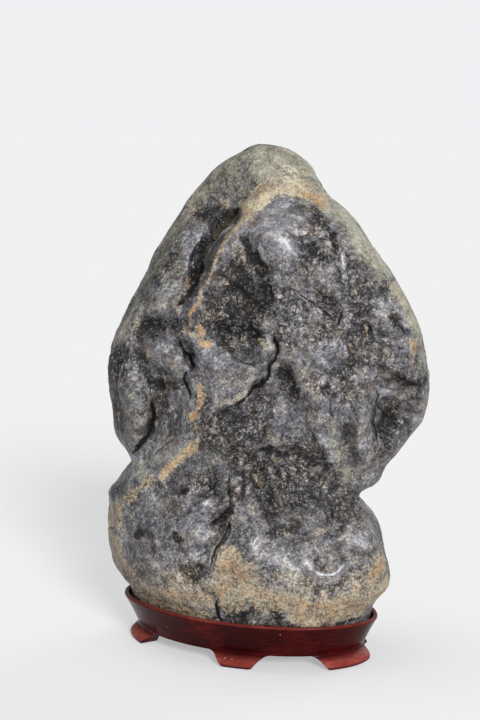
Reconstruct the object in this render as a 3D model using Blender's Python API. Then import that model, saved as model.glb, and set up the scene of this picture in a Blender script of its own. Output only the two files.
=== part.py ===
"""A river-worn viewing stone standing in its carved hardwood stand.

The stone is a ball pressed to four outline curves and then cut by a carver's list of strokes.
The stand is an oval tray, turned out of rings of one plan curve, with arches cut between its feet.
Lengths are in millimetres; MM turns them into metres where a mesh is made. The front faces -Y.
"""

import math

import bmesh
import bpy
import numpy as np
from mathutils import Vector, noise

MM = 0.001

# ---------------------------------------------------------------- driving dimensions

STONE_TOP = 250.0            # summit above the table
STONE_HALF_WIDTH = 80.5      # widest reach to the left and to the right
STONE_HALF_DEPTH = 50.0      # widest reach to the front and to the back
STONE_TRIANGLES = 7600       # faces kept in the finished stone

PLAN_CENTRE_X = -8.0         # the stand sits a little left of the stone's middle
PLAN_HALF_WIDTH = 63.5       # rim, left to right
PLAN_HALF_DEPTH = 49.0       # rim, front to back
PLAN_LAG = math.radians(-20) # turns the oval: its left end lies further back

RIM_HEIGHT = 21.6
RIM_THICKNESS = 2.2
WAIST_HEIGHT = 6.5           # where the tray wall meets the flare of the feet
WAIST_INSET = 6.8            # the wall leans in this much from rim to waist
TOE_INSET = 2.4              # the feet flare out again to here
FOOT_DEPTH = 10.0            # a foot measured inwards from its toe
UNDER_TRAY = 7.2             # the tray's flat underside, a little above the arches between the feet
SEAT_FLOOR = 10.0            # floor of the recess that holds the stone
SEAT_SLOPE_INSET = 9.0       # the recess narrows this much from rim to floor
FIT_GAP = 0.8                # daylight between stone and recess wall
REST_GAP = 0.3               # between the stone's base and the recess floor

STONE_BASE = SEAT_FLOOR + REST_GAP
BALL_CUT = -0.86                 # the stone starts as a ball of radius 1, cut flat here for its base
SCULPT_FROM = RIM_HEIGHT + 3.0   # no stroke reaches below this, into the recess
FOOT_BLEND = 14.0                # the stone leaves the recess's oval for its own outline over this height

# ---------------------------------------------------------------- the stone's outline curves
# Each row is (height, reach). Left and right are read off the front view, front and back off the side view.

LEFT_EDGE = [
    (21.6, -68.2), (31.1, -73.4), (37.1, -76.4), (43.6, -78.4), (50.6, -80.0), (58.6, -80.5),
    (66.5, -80.2), (73.5, -79.4), (77.5, -77.0), (81.0, -73.6), (85.5, -71.6), (88.5, -70.0),
    (91.5, -67.2), (93.5, -68.0), (98.0, -70.8), (102.3, -74.7), (106.3, -76.6), (113.3, -77.6),
    (125.3, -78.6), (138.3, -79.3), (148.3, -78.0), (155.3, -75.8), (160.3, -73.0), (167.3, -70.0),
    (173.3, -66.9), (178.3, -63.4), (187.3, -57.9), (195.1, -54.4), (204.1, -49.4), (216.1, -41.0),
    (228.1, -32.2), (238.1, -23.8), (242.1, -18.0), (245.6, -12.6), (248.0, -7.7), (249.5, -2.9),
    (250.0, 2.5),
]
RIGHT_EDGE = [
    (21.6, 52.2), (25.6, 56.4), (30.6, 59.2), (36.6, 60.7), (42.6, 61.2), (47.1, 60.4),
    (52.6, 58.8), (58.6, 57.6), (64.5, 56.6), (68.5, 54.6), (72.0, 51.8), (75.5, 48.8),
    (78.5, 46.3), (80.0, 45.4), (80.8, 47.5), (82.6, 51.9), (85.1, 54.9), (88.7, 56.8),
    (92.8, 58.7), (97.9, 63.2), (102.7, 67.1), (109.3, 72.0), (113.3, 75.4), (116.3, 77.3),
    (124.3, 79.4), (131.3, 80.5), (138.3, 80.2), (144.3, 79.1), (151.3, 77.7), (158.3, 76.1),
    (163.3, 74.6), (168.3, 71.5), (174.3, 68.5), (187.3, 61.0), (201.1, 51.0), (214.1, 42.0),
    (221.1, 36.1), (223.6, 31.7), (227.1, 28.8), (232.1, 25.3), (238.1, 22.8), (241.1, 20.9),
    (245.0, 16.5), (248.0, 11.6), (249.5, 6.8), (250.0, 2.5),
]
FRONT_EDGE = [
    (21.6, -46.0), (28.6, -48.6), (38.6, -50.0), (50.6, -49.4), (60.5, -45.5), (70.5, -39.5),
    (80.5, -35.5), (91.0, -34.5), (104.0, -36.5), (122.0, -40.0), (150.3, -42.0), (170.0, -42.5),
    (186.0, -44.5), (197.0, -43.5), (206.0, -38.5), (214.1, -29.5), (222.1, -20.0), (232.1, -12.0),
    (242.1, -6.0), (248.0, 1.0), (250.0, 8.0),
]
BACK_EDGE = [
    (21.6, 46.0), (30.6, 48.6), (40.6, 50.0), (52.0, 48.6), (64.0, 44.0), (76.0, 39.0),
    (88.0, 37.0), (100.3, 40.5), (116.0, 45.5), (136.0, 48.0), (156.0, 46.0), (176.0, 42.5),
    (196.0, 38.5), (215.1, 33.0), (230.1, 28.0), (240.1, 22.5), (247.0, 15.5), (250.0, 8.0),
]
SECTION_LAG = [  # (height, degrees)
    (0.0, -20.0), (55.0, -20.0), (105.0, -12.0), (150.0, -12.0), (180.0, -20.0), (215.0, -26.0),
    (250.0, -8.0),
]
SECTION_SQUARENESS = 2.25    # 2 is an ellipse, more is boxier


def curve_at(rows, heights):
    """The reach at each height, along straight runs between the rows."""
    table = np.array(rows)
    return np.interp(heights, table[:, 0], table[:, 1])


# ---------------------------------------------------------------- the carver's strokes
# A stroke is drawn on one elevation of the stone as a line of (across, height) points. "across" is x on the
# front and back, y on the left and right. It moves the surface straight in or straight out.


def hollow(points, width, depth, ends=6.0):
    """A groove or a scoop of this half-width, deepest along the line. ends is how far it takes to run out."""
    return {"kind": "round", "points": points, "width": width, "depth": depth, "ends": ends}


def swell(points, width, height, ends=6.0):
    """A rib or a boss, the same shape as a hollow but standing out."""
    return {"kind": "round", "points": points, "width": width, "depth": -height, "ends": ends}


def ledge(points, wall, run, drop, ends=8.0):
    """A step. Walking the line, the surface on the left falls by drop within wall, and is level again at run."""
    return {"kind": "step", "points": points, "width": wall, "run": run, "depth": drop, "ends": ends}


FRONT_STROKES = [
    # The cleft: the back slab lies far behind the lip of the front spur, and is deepest against it.
    ledge(
        [(-48, 168), (-34, 178), (-30, 188), (-26, 199), (-21, 207), (-14, 216), (-6, 223), (4, 230)],
        4.5, 32, 13, 32,
    ),
    hollow([(-40, 174), (-34, 186), (-31, 196), (-26, 204), (-18, 213), (-9, 221)], 6, 13, 14),
    hollow([(-8, 224), (-2, 229), (5, 234)], 7, 3, 8),
    # The spur: a rounded lip, a knob, a strip of shadow beside it and a wide hollow under it.
    swell([(-33, 177), (-29, 185), (-21, 203), (-14, 211), (-7, 218), (2, 225), (21, 224)], 5, 2.5, 10),
    swell([(4, 212), (8, 203)], 19, 6),
    hollow([(-11, 208), (-8, 201), (-5, 194), (-1, 185)], 4.5, 4),
    hollow([(-18, 184), (-10, 178), (-2, 172)], 16, 7),
    swell([(20, 193), (24, 182)], 14, 3),
    swell([(34, 202), (36, 192), (36, 182)], 5, 2),
    ledge([(23, 174), (27, 173), (32, 168)], 2, 9, 3.5, 4),
    # The flake in the middle: a low boss under an overhang, with an open crack down its right side.
    hollow([(-24, 164), (-15, 162), (-4, 162)], 7.5, 7),
    swell([(-23, 140), (-16, 138)], 17, 3.5),
    swell([(0, 157), (0, 147)], 6, 3),
    ledge([(-30, 156), (-23, 156), (-17, 153), (-13, 148), (-5, 146)], 2.2, 12, 5, 5),
    ledge(
        [(3, 161), (6, 154), (2, 147), (1, 141), (-2, 137), (-7, 135), (-9, 131), (-13, 128), (-26, 125)],
        2, 14, 6, 6,
    ),
    hollow([(4, 160), (6, 153), (2, 146), (0, 141), (-5, 136), (-8, 130)], 2.6, 7, 4),
    hollow([(-30, 148), (-31, 132), (-29, 123)], 3.5, 3),
    # The left lobe: a ridge on top, a shaded hollow, a round cheek, and a long leaf with a slot behind it.
    swell([(-71, 162), (-60, 167), (-48, 171), (-38, 174)], 5, 2.5, 8),
    hollow([(-60, 161), (-51, 162), (-40, 164)], 8, 6.5),
    swell([(-48, 151), (-45, 144)], 10, 3),
    hollow([(-42, 158), (-38, 153), (-36, 147), (-36, 142)], 3.5, 8, 5),
    hollow([(-38, 142), (-39, 137), (-38, 130)], 3, 5, 4),
    swell([(-66, 141), (-68, 128), (-67, 113)], 11.5, 5, 8),
    ledge([(-58, 143), (-56, 136), (-55, 128), (-55, 119), (-57, 112), (-60, 105), (-66, 99)], 2.5, 15, 8, 6),
    hollow([(-55, 126), (-55, 117), (-58, 110), (-62, 103)], 3.5, 7, 5),
    ledge([(-49, 101), (-41, 109), (-40, 121), (-39, 131)], 3, 10, 3.5),
    swell([(-37, 105), (-49, 96), (-61, 89), (-70, 80)], 9, 2.5, 10),
    # The right half: a fold, then a column that runs down to the waist beside a trough.
    swell([(8, 154), (20, 155), (33, 157)], 8, 3.5),
    hollow([(9, 146), (11, 134)], 8, 5),
    swell([(24, 144), (24, 131), (26, 112), (34, 97)], 9.5, 5, 10),
    hollow([(36, 140), (38, 122), (38, 104), (42, 90)], 7.5, 4.5, 12),
    # The right lobe: a leaf, a deep hollow inside the rolled rim, and a nick above.
    swell([(45, 130), (46, 116), (46, 98)], 8, 3),
    hollow([(60, 133), (63, 121), (57, 106)], 14, 9, 8),
    ledge([(52, 137), (50, 128), (52, 117), (55, 108)], 2.4, 12, 4, 5),
    ledge([(74, 134), (64, 139), (54, 143), (44, 141)], 2.5, 14, 3.5),
    hollow([(48, 167), (49, 162), (47, 156)], 3, 3.5, 4),
    # The waist.
    hollow([(16, 111), (16, 83)], 24, 7, 10),
    hollow([(-4, 112), (-1, 96), (6, 78)], 10, 5.5, 9),
    hollow([(37, 82), (41, 71)], 9, 2.5),
    # The base: a hollowed block on the left, a swelling boss with a bowl worn into it on the right.
    hollow([(-36, 88), (-29, 86), (-24, 81)], 9, 5.5),
    ledge([(-15, 104), (-18, 92), (-18, 81)], 3, 12, 3.5, 8),
    hollow([(-17, 80), (-21, 74), (-26, 71)], 3, 3.5, 4),
    ledge([(-29, 51), (-25, 58), (-21, 64), (-17, 73)], 2.2, 12, 4, 5),
    swell([(-60, 54), (-44, 58)], 20, 3, 12),
    hollow([(-45, 47), (-36, 51)], 9, 2.5, 8),
    swell([(-10, 61), (10, 59)], 18, 4, 12),
    hollow([(24, 56), (26, 53)], 9, 6),
    swell([(18, 60), (19, 53), (24, 48), (31, 47), (36, 52)], 4.8, 2.4),
]
BACK_STROKES = [
    # A spine from the summit, with a step down beside it that carries the front's cleft on to the back.
    swell([(6, 232), (-6, 206), (-16, 176), (-14, 140)], 13, 5, 18),
    ledge([(20, 146), (28, 166), (26, 190), (16, 214)], 3.5, 26, 8, 12),
    hollow([(-18, 232), (-26, 218)], 8, 3, 8),
    # Hollows in both lobes and across the waist.
    hollow([(44, 150), (50, 128), (44, 108)], 15, 8, 12),
    hollow([(-44, 156), (-50, 136), (-40, 116)], 14, 7, 12),
    ledge([(-46, 134), (-34, 122), (-20, 116)], 3, 14, 5, 8),
    hollow([(-6, 116), (2, 98), (-4, 82)], 11, 6.5, 12),
    hollow([(-34, 92), (-16, 78), (14, 76), (34, 88)], 9, 5, 12),
    # The base.
    swell([(-46, 52), (-52, 42)], 14, 2, 12),
    swell([(18, 52), (30, 46)], 14, 2.5, 12),
    ledge([(2, 64), (-2, 52), (-14, 44)], 2.6, 14, 4, 7),
    hollow([(34, 60), (38, 54)], 7, 3.5, 6),
]
LEFT_STROKES = [
    hollow([(34, 200), (37, 176), (31, 152)], 11, 5, 12),
    ledge([(-14, 150), (-8, 132), (-12, 112)], 3, 15, 4, 8),
    hollow([(30, 134), (35, 112)], 10, 5, 10),
    hollow([(26, 100), (38, 92)], 9, 4, 8),
    hollow([(-20, 74), (-12, 58), (-18, 44)], 8, 3, 8),
    hollow([(34, 70), (38, 46)], 10, 3.5, 10),
]
RIGHT_STROKES = [
    hollow([(14, 212), (24, 184), (28, 156)], 13, 6, 14),
    hollow([(6, 128), (0, 148), (6, 168)], 8, 2.5, 12),
    hollow([(30, 132), (18, 108)], 12, 6, 10),
    hollow([(-36, 128), (-34, 106)], 8, 4, 8),
    hollow([(10, 68), (26, 50)], 12, 5, 10),
    hollow([(-26, 66), (-20, 52)], 8, 2.5, 8),
]
# elevation: (strokes, axis read as "across", outward direction)
ELEVATIONS = [
    (FRONT_STROKES, 0, (0, -1, 0)),
    (BACK_STROKES, 0, (0, 1, 0)),
    (LEFT_STROKES, 1, (-1, 0, 0)),
    (RIGHT_STROKES, 1, (1, 0, 0)),
]
LUMPS = [(32.0, 2.0), (12.0, 1.0)]  # (size, height) of the stone's own unevenness


def ease(x):
    """0 to 1 with no corner at either end."""
    x = np.clip(x, 0.0, 1.0)
    return x * x * (3 - 2 * x)


def nearest_on_line(across, height, points):
    """For each vertex: how far from the line, which side (+ on the left) and how far along. Then its length."""
    ends = np.array(points, float)
    best = np.full(across.shape, np.inf)
    side = np.zeros(across.shape)
    along = np.zeros(across.shape)
    walked = 0.0
    for start, stop in zip(ends[:-1], ends[1:]):
        step = stop - start
        length = math.hypot(*step)
        share = np.clip(((across - start[0]) * step[0] + (height - start[1]) * step[1]) / length**2, 0, 1)
        dx = across - start[0] - share * step[0]
        dz = height - start[1] - share * step[1]
        gap = np.hypot(dx, dz)
        closer = gap < best
        best = np.where(closer, gap, best)
        side = np.where(closer, np.sign(step[0] * dz - step[1] * dx), side)
        along = np.where(closer, walked + share * length, along)
        walked += length
    return best, side, along, walked


def stroke_depth(mark, across, height):
    """How far this stroke moves each vertex in, before it is faded towards the stone's edge."""
    gap, side, along, length = nearest_on_line(across, height, mark["points"])
    from_end = ease(np.minimum(along, length - along) / mark["ends"])
    if mark["kind"] == "round":
        return mark["depth"] * (0.35 + 0.65 * from_end) * ease(1 - gap / mark["width"])
    fall = ease(gap / mark["width"])
    climb = ease(1 - (gap - mark["width"]) / (mark["run"] - mark["width"]))
    return np.where(side > 0, mark["depth"] * from_end * fall * climb, 0.0)


def plan_at(angle, inset):
    """The stand's oval plan at these angles, moved inwards by inset. The stone's foot follows it too."""
    x = PLAN_CENTRE_X + PLAN_HALF_WIDTH * np.cos(angle)
    y = PLAN_HALF_DEPTH * np.sin(angle + PLAN_LAG)
    along_x = -PLAN_HALF_WIDTH * np.sin(angle)
    along_y = PLAN_HALF_DEPTH * np.cos(angle + PLAN_LAG)
    length = np.hypot(along_x, along_y)
    return x - inset * along_y / length, y + inset * along_x / length


def recess_inset(depth_share):
    """How far the recess wall has come in, from 0 at the rim to 1 at the floor."""
    return RIM_THICKNESS + SEAT_SLOPE_INSET * depth_share**1.4


def section_at(heights, angle):
    """The stone's surface at these heights, round by angle: quarter curves that meet its outline curves."""
    left, right = curve_at(LEFT_EDGE, heights), curve_at(RIGHT_EDGE, heights)
    front, back = curve_at(FRONT_EDGE, heights), curve_at(BACK_EDGE, heights)
    lag = np.radians(curve_at(SECTION_LAG, heights))
    power = 2 / SECTION_SQUARENESS
    wide, deep = np.cos(angle), np.sin(angle + lag)
    x = (left + right) / 2 + (right - left) / 2 * np.sign(wide) * np.abs(wide) ** power
    y = (front + back) / 2 + (back - front) / 2 * np.sign(deep) * np.abs(deep) ** power
    return x, y


def stone_blank():
    """The ball pressed to the outline curves, with a flat base and a foot that fits the recess."""
    mesh = bpy.data.meshes.new("stone")
    bm = bmesh.new()
    bmesh.ops.create_icosphere(bm, subdivisions=7, radius=1.0)
    ball = np.array([v.co for v in bm.verts])
    rise = np.clip((ball[:, 2] - BALL_CUT) / (1 - BALL_CUT), 0, 1)
    heights = STONE_BASE + (STONE_TOP - STONE_BASE) * rise
    angle = np.arctan2(ball[:, 1], ball[:, 0])
    reach = np.minimum(np.hypot(ball[:, 0], ball[:, 1]) / math.sqrt(1 - BALL_CUT**2), 1.0)
    reach[ball[:, 2] > BALL_CUT] = 1.0
    x, y = section_at(np.maximum(heights, RIM_HEIGHT), angle)
    below = np.clip((RIM_HEIGHT - heights) / (RIM_HEIGHT - STONE_BASE), 0, 1)
    foot_x, foot_y = plan_at(angle, recess_inset(below) + FIT_GAP)
    leaving = ease((heights - RIM_HEIGHT) / FOOT_BLEND)
    x = foot_x + (x - foot_x) * leaving
    y = foot_y + (y - foot_y) * leaving
    x = PLAN_CENTRE_X + (x - PLAN_CENTRE_X) * reach
    y = y * reach
    for vertex, place in zip(bm.verts, np.column_stack([x, y, heights])):
        vertex.co = place
    bm.to_mesh(mesh)
    bm.free()
    return mesh


def vertex_arrays(mesh):
    count = len(mesh.vertices)
    places, normals = np.empty(count * 3), np.empty(count * 3)
    mesh.vertices.foreach_get("co", places)
    mesh.vertices.foreach_get("normal", normals)
    return places.reshape(-1, 3), normals.reshape(-1, 3)


def carve(mesh):
    """Every stroke of the four elevations, then the stone's own lumps."""
    places, normals = vertex_arrays(mesh)
    clear_of_seat = ease((places[:, 2] - SCULPT_FROM) / 8.0)
    moved = places.copy()
    for strokes, across_axis, outward in ELEVATIONS:
        facing = ease((normals @ np.array(outward) + 0.05) / 0.55)
        total = sum(stroke_depth(mark, places[:, across_axis], places[:, 2]) for mark in strokes)
        moved -= (total * facing * clear_of_seat)[:, None] * np.array(outward)
    for size, height in LUMPS:
        lump = np.array([noise.noise(Vector(p) / size) for p in places])
        moved += (lump * height * clear_of_seat)[:, None] * normals
    mesh.vertices.foreach_set("co", moved.ravel())
    mesh.update()


def fit_to_reach(mesh):
    """Scales the carved stone back to its driving width, depth and height, above the recess only."""
    places, _ = vertex_arrays(mesh)
    low, high = places.min(0), places.max(0)
    share = ease((places[:, 2] - RIM_HEIGHT) / 15.0)
    half_reach = (STONE_HALF_WIDTH, STONE_HALF_DEPTH)
    for axis in (0, 1):
        wanted = np.where(places[:, axis] < 0, half_reach[axis] / -low[axis], half_reach[axis] / high[axis])
        places[:, axis] *= 1 + (wanted - 1) * share
    stretch = (STONE_TOP - STONE_BASE) / (high[2] - STONE_BASE)
    places[:, 2] = STONE_BASE + (places[:, 2] - STONE_BASE) * stretch
    mesh.vertices.foreach_set("co", (places * MM).ravel())
    mesh.update()


def material(name, colour, roughness):
    made = bpy.data.materials.new(name)
    made.use_nodes = True
    shader = made.node_tree.nodes["Principled BSDF"]
    shader.inputs["Base Color"].default_value = (*colour, 1)
    shader.inputs["Roughness"].default_value = roughness
    shader.inputs["Metallic"].default_value = 0.0
    made.diffuse_color = (*colour, 1)
    return made


def add_object(name, mesh, finish):
    made = bpy.data.objects.new(name, mesh)
    bpy.context.scene.collection.objects.link(made)
    mesh.materials.append(finish)
    return made


def triangle_count(obj):
    bpy.context.view_layer.update()
    graph = bpy.context.evaluated_depsgraph_get()
    mesh = obj.evaluated_get(graph).to_mesh()
    mesh.calc_loop_triangles()
    return len(mesh.loop_triangles)


def build_stone():
    mesh = stone_blank()
    carve(mesh)
    fit_to_reach(mesh)
    stone = add_object("stone", mesh, material("grey_stone", (0.13, 0.125, 0.12), 0.5))
    even = stone.modifiers.new("even_faces", "REMESH")
    even.mode = "VOXEL"
    even.voxel_size = 1.4 * MM
    soft = stone.modifiers.new("worn", "SMOOTH")
    soft.factor, soft.iterations = 0.5, 2
    fewer = stone.modifiers.new("fewer_faces", "DECIMATE")
    fewer.ratio = STONE_TRIANGLES / triangle_count(stone)
    return stone


# ---------------------------------------------------------------- the stand

PLAN_POINTS = 64
# The outside of the stand from the toes up, as (height, inset from the rim's outer line).
OUTER_PROFILE = [
    (0.0, TOE_INSET + 1.2), (0.7, TOE_INSET + 0.2), (1.8, TOE_INSET), (3.2, TOE_INSET + 1.3),
    (4.8, WAIST_INSET - 1.1), (WAIST_HEIGHT, WAIST_INSET), (9.5, WAIST_INSET - 1.2), (14.0, 3.4),
    (19.0, 0.9), (20.8, 0.0), (RIM_HEIGHT, 0.6),
]
# The six feet where they meet the table: plan angles, in degrees, at which each one starts and stops.
FEET = [(-175, -154), (-103.5, -90.5), (-52, -17), (16, 36), (90, 103.5), (129, 156)]
ARCH_CORNER = 8.3    # each end of an arch comes down over this length
# (share of the corner's length, share of its height)
ARCH_CORNER_SHAPE = [(0.0, 0.0), (0.2, 0.34), (0.43, 0.62), (0.7, 0.86), (1.0, 1.0)]
CUT_MARGIN = 4.0     # cutters run past the faces that they cut


def ring_at(inset, height):
    x, y = plan_at(np.arange(PLAN_POINTS) * 2 * math.pi / PLAN_POINTS, inset)
    return [Vector((px * MM, py * MM, height * MM)) for px, py in zip(x, y)]


def loft(rings):
    """A closed solid through these rings, with the first and the last capped."""
    bm = bmesh.new()
    loops = [[bm.verts.new(place) for place in ring] for ring in rings]
    for lower, upper in zip(loops, loops[1:]):
        for i in range(len(lower)):
            following = (i + 1) % len(lower)
            bm.faces.new((lower[i], lower[following], upper[following], upper[i]))
    bm.faces.new(reversed(loops[0]))
    bm.faces.new(loops[-1])
    bmesh.ops.recalc_face_normals(bm, faces=bm.faces)
    mesh = bpy.data.meshes.new("rings")
    bm.to_mesh(mesh)
    bm.free()
    return mesh


def recess_rings():
    """The inside of the tray, from the rim down to its floor."""
    rings = [ring_at(RIM_THICKNESS - 0.5, RIM_HEIGHT), ring_at(RIM_THICKNESS, RIM_HEIGHT - 0.7)]
    for share in (0.25, 0.5, 0.75, 1.0):
        rings.append(ring_at(recess_inset(share), RIM_HEIGHT - (RIM_HEIGHT - SEAT_FLOOR) * share))
    return rings


def arch_outline(width):
    """The gap between two feet, from -CUT_MARGIN to WAIST_HEIGHT: a flat top that curves down at each end."""
    corner = min(ARCH_CORNER, 0.4 * width)
    left = [(-width / 2, -CUT_MARGIN)]
    left += [(-width / 2 + corner * along, WAIST_HEIGHT * up) for along, up in ARCH_CORNER_SHAPE]
    return left + [(-along, height) for along, height in reversed(left)]


def arch_cutter(name, from_degrees, to_degrees):
    """A straight prism of the arch outline, from under the tray out through the toes."""
    x, y = plan_at(np.radians([from_degrees, to_degrees]), TOE_INSET)
    start, stop = Vector((x[0], y[0], 0)), Vector((x[1], y[1], 0))
    along = (stop - start).normalized()
    outward = Vector((along.y, -along.x, 0))
    width = (stop - start).length
    inside = (start + stop) / 2 - outward * (FOOT_DEPTH + CUT_MARGIN)
    bm = bmesh.new()
    corners = [
        bm.verts.new((inside + along * across + Vector((0, 0, height))) * MM)
        for across, height in arch_outline(width)
    ]
    drawn = bmesh.ops.extrude_face_region(bm, geom=[bm.faces.new(corners)])["geom"]
    far = [item for item in drawn if isinstance(item, bmesh.types.BMVert)]
    bmesh.ops.translate(bm, verts=far, vec=outward * (FOOT_DEPTH + CUT_MARGIN + width / 2) * MM)
    bmesh.ops.recalc_face_normals(bm, faces=bm.faces)
    mesh = bpy.data.meshes.new(name)
    bm.to_mesh(mesh)
    bm.free()
    return mesh


def add_cutter(target, name, mesh):
    cutter = bpy.data.objects.new(name, mesh)
    bpy.context.scene.collection.objects.link(cutter)
    cutter.hide_render = True
    cutter.display_type = "WIRE"
    cut = target.modifiers.new(name, "BOOLEAN")
    cut.operation, cut.solver, cut.object = "DIFFERENCE", "EXACT", cutter


def build_stand():
    outside = [ring_at(inset, height) for height, inset in OUTER_PROFILE]
    finish = material("red_brown_lacquer", (0.12, 0.016, 0.010), 0.3)
    stand = add_object("wooden_stand", loft(outside + recess_rings()), finish)
    hollow_inset = TOE_INSET + FOOT_DEPTH
    under = [ring_at(hollow_inset, -CUT_MARGIN), ring_at(hollow_inset, UNDER_TRAY)]
    add_cutter(stand, "under_tray", loft(under))
    for number, (before, after) in enumerate(zip(FEET, FEET[1:] + FEET[:1])):
        name = f"arch_{number}"
        add_cutter(stand, name, arch_cutter(name, before[1], after[0]))
    return stand


def main():
    for obj in list(bpy.data.objects):
        bpy.data.objects.remove(obj, do_unlink=True)
    for obj in (build_stone(), build_stand()):
        obj.data.shade_smooth()
        obj.data.set_sharp_from_angle(angle=math.radians(40))


main()
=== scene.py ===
# %% [markdown]
# # A scholar's rock on its carved stand
#
# A scholar's rock is a natural stone that was picked for its lumps, hollows and clefts, cleaned, waxed, and
# set in a wooden stand cut to fit its foot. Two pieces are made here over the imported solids: the stone, with
# its cracks, pits and speckled skin, and the lacquered stand. The solids give the size and the place of both.

import math

import bmesh
import bpy
import numpy as np
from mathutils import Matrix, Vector, noise


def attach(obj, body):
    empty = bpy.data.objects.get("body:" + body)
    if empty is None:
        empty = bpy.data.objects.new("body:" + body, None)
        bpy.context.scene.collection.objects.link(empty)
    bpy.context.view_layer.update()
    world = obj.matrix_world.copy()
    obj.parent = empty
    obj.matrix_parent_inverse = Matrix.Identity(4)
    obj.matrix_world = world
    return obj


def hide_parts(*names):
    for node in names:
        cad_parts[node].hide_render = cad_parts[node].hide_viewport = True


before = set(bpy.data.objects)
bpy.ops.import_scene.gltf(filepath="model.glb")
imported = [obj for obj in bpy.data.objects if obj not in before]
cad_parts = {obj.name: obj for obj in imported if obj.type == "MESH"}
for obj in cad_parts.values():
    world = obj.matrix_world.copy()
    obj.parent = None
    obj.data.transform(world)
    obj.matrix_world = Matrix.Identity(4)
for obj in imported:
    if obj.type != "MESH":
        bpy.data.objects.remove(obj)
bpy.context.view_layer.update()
scene = bpy.context.scene
MM = 0.001

# %% [markdown]
# ## Camera, light and floor
#
# The rock is seen almost level and a little from above, through a long lens that keeps the stand's oval flat.
# A stone's skin shows best in one broad light from the front right, which puts a soft shine on each knob, and
# a pale room round it that opens the hollows. Small lights would make hard sparkles on a waxed surface.

# %% The camera
camera = bpy.data.objects.new("camera", bpy.data.cameras.new("camera"))
camera.location = (-0.0126, -0.7881, 0.26181)
camera.rotation_euler = (math.radians(81.5), 0, 0)
camera.data.lens = 80.85
camera.data.sensor_width = 36
camera.data.clip_start = 0.01
scene.collection.objects.link(camera)
scene.camera = camera
scene.view_settings.view_transform = "Standard"
print("camera", tuple(camera.location))

# %% Soft lights
def soft_light(name, direction, breadth, strength):
    """A broad round lamp, so far off that it lights the floor evenly. Breadth is its angle in degrees."""
    light = bpy.data.objects.new(name, bpy.data.lights.new(name, "SUN"))
    light.rotation_euler = Vector(direction).to_track_quat("Z", "Y").to_euler()
    light.data.angle = math.radians(breadth)
    light.data.energy = strength
    scene.collection.objects.link(light)


soft_light("front_light", (0.26, -0.87, 0.45), 17, 3.5)
soft_light("top_light", (-0.2, 0.1, 1.0), 35, 0.88)
soft_light("back_light", (0.7, 0.7, 0.5), 35, 0.8)
room = bpy.data.worlds.new("pale_room")
room.use_nodes = True
walls = room.node_tree.nodes["Background"]
walls.inputs["Color"].default_value = (0.97, 0.98, 1.0, 1)
seen = room.node_tree.nodes.new("ShaderNodeLightPath").outputs["Is Camera Ray"]
strength = room.node_tree.nodes.new("ShaderNodeMapRange")
strength.inputs["To Min"].default_value = 0.34
strength.inputs["To Max"].default_value = 0.89
room.node_tree.links.new(seen, strength.inputs["Value"])
room.node_tree.links.new(strength.outputs["Result"], walls.inputs["Strength"])
scene.world = room


# %% A helper for finishes
def linear(colour):
    """Screen values from 0 to 255, as the shader wants them."""
    part = [v / 255 for v in colour]
    return tuple(v / 12.92 if v <= 0.04045 else ((v + 0.055) / 1.055) ** 2.4 for v in part) + (1,)


def new_finish(name):
    """A material with only its Principled shader and its output."""
    finish = bpy.data.materials.new(name)
    finish.use_nodes = True
    return finish, finish.node_tree, finish.node_tree.nodes["Principled BSDF"]


# %% The floor
floor_shape = bmesh.new()
bmesh.ops.create_grid(floor_shape, x_segments=1, y_segments=1, size=40)
floor_mesh = bpy.data.meshes.new("floor")
floor_shape.to_mesh(floor_mesh)
floor_shape.free()
floor = bpy.data.objects.new("floor", floor_mesh)
scene.collection.objects.link(floor)
floor_finish, _, floor_shader = new_finish("pale_floor")
floor_shader.inputs["Base Color"].default_value = linear((168, 168, 167))
floor_shader.inputs["Roughness"].default_value = 0.9
floor_shader.inputs["Specular IOR Level"].default_value = 0.0
floor_shader.inputs["Emission Color"].default_value = linear((250, 250, 252))
floor_shader.inputs["Emission Strength"].default_value = 0.42
floor.data.materials.append(floor_finish)
print("floor", tuple(round(v, 1) for v in floor.dimensions))

# %% [markdown]
# ## The stone, first as a smooth lump
#
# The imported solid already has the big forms: the slab and its cleft, the knob, the two lobes and the waist.
# Its flat triangles are about 5 mm wide, though. One level of subdivision rounds them, and a voxel remesh
# gives even faces under 1 mm wide, small enough to hold a crack. Remeshing is the usual first step before
# sculpting, because the fine shape shouldn't follow the old triangles.


# %% A smooth copy of the stone
VOXEL = 0.92         # mm, the finest face that the cracks need
STONE_QUADS = 94000  # kept when the relief is done


def merged_copy(node, name):
    """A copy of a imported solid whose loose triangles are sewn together."""
    piece = bpy.data.objects.new(name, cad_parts[node].data.copy())
    piece.data.materials.clear()
    scene.collection.objects.link(piece)
    sewn = bmesh.new()
    sewn.from_mesh(piece.data)
    bmesh.ops.remove_doubles(sewn, verts=sewn.verts, dist=1e-6)
    sewn.to_mesh(piece.data)
    sewn.free()
    return piece


def apply_modifiers(piece):
    """Turns what the modifiers show into the piece's own mesh."""
    bpy.context.view_layer.update()
    shown = piece.evaluated_get(bpy.context.evaluated_depsgraph_get())
    finished = bpy.data.meshes.new_from_object(shown)
    piece.modifiers.clear()
    piece.data = finished


stone = merged_copy("stone", "scholars_rock")
rounded = stone.modifiers.new("rounded", "SUBSURF")
rounded.levels = rounded.render_levels = 1
even = stone.modifiers.new("even", "REMESH")
even.mode = "VOXEL"
even.voxel_size = VOXEL * MM
calm = stone.modifiers.new("calm", "SMOOTH")
calm.factor = 0.5
calm.iterations = 6
apply_modifiers(stone)
print("smooth stone:", len(stone.data.vertices), "points")


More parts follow.
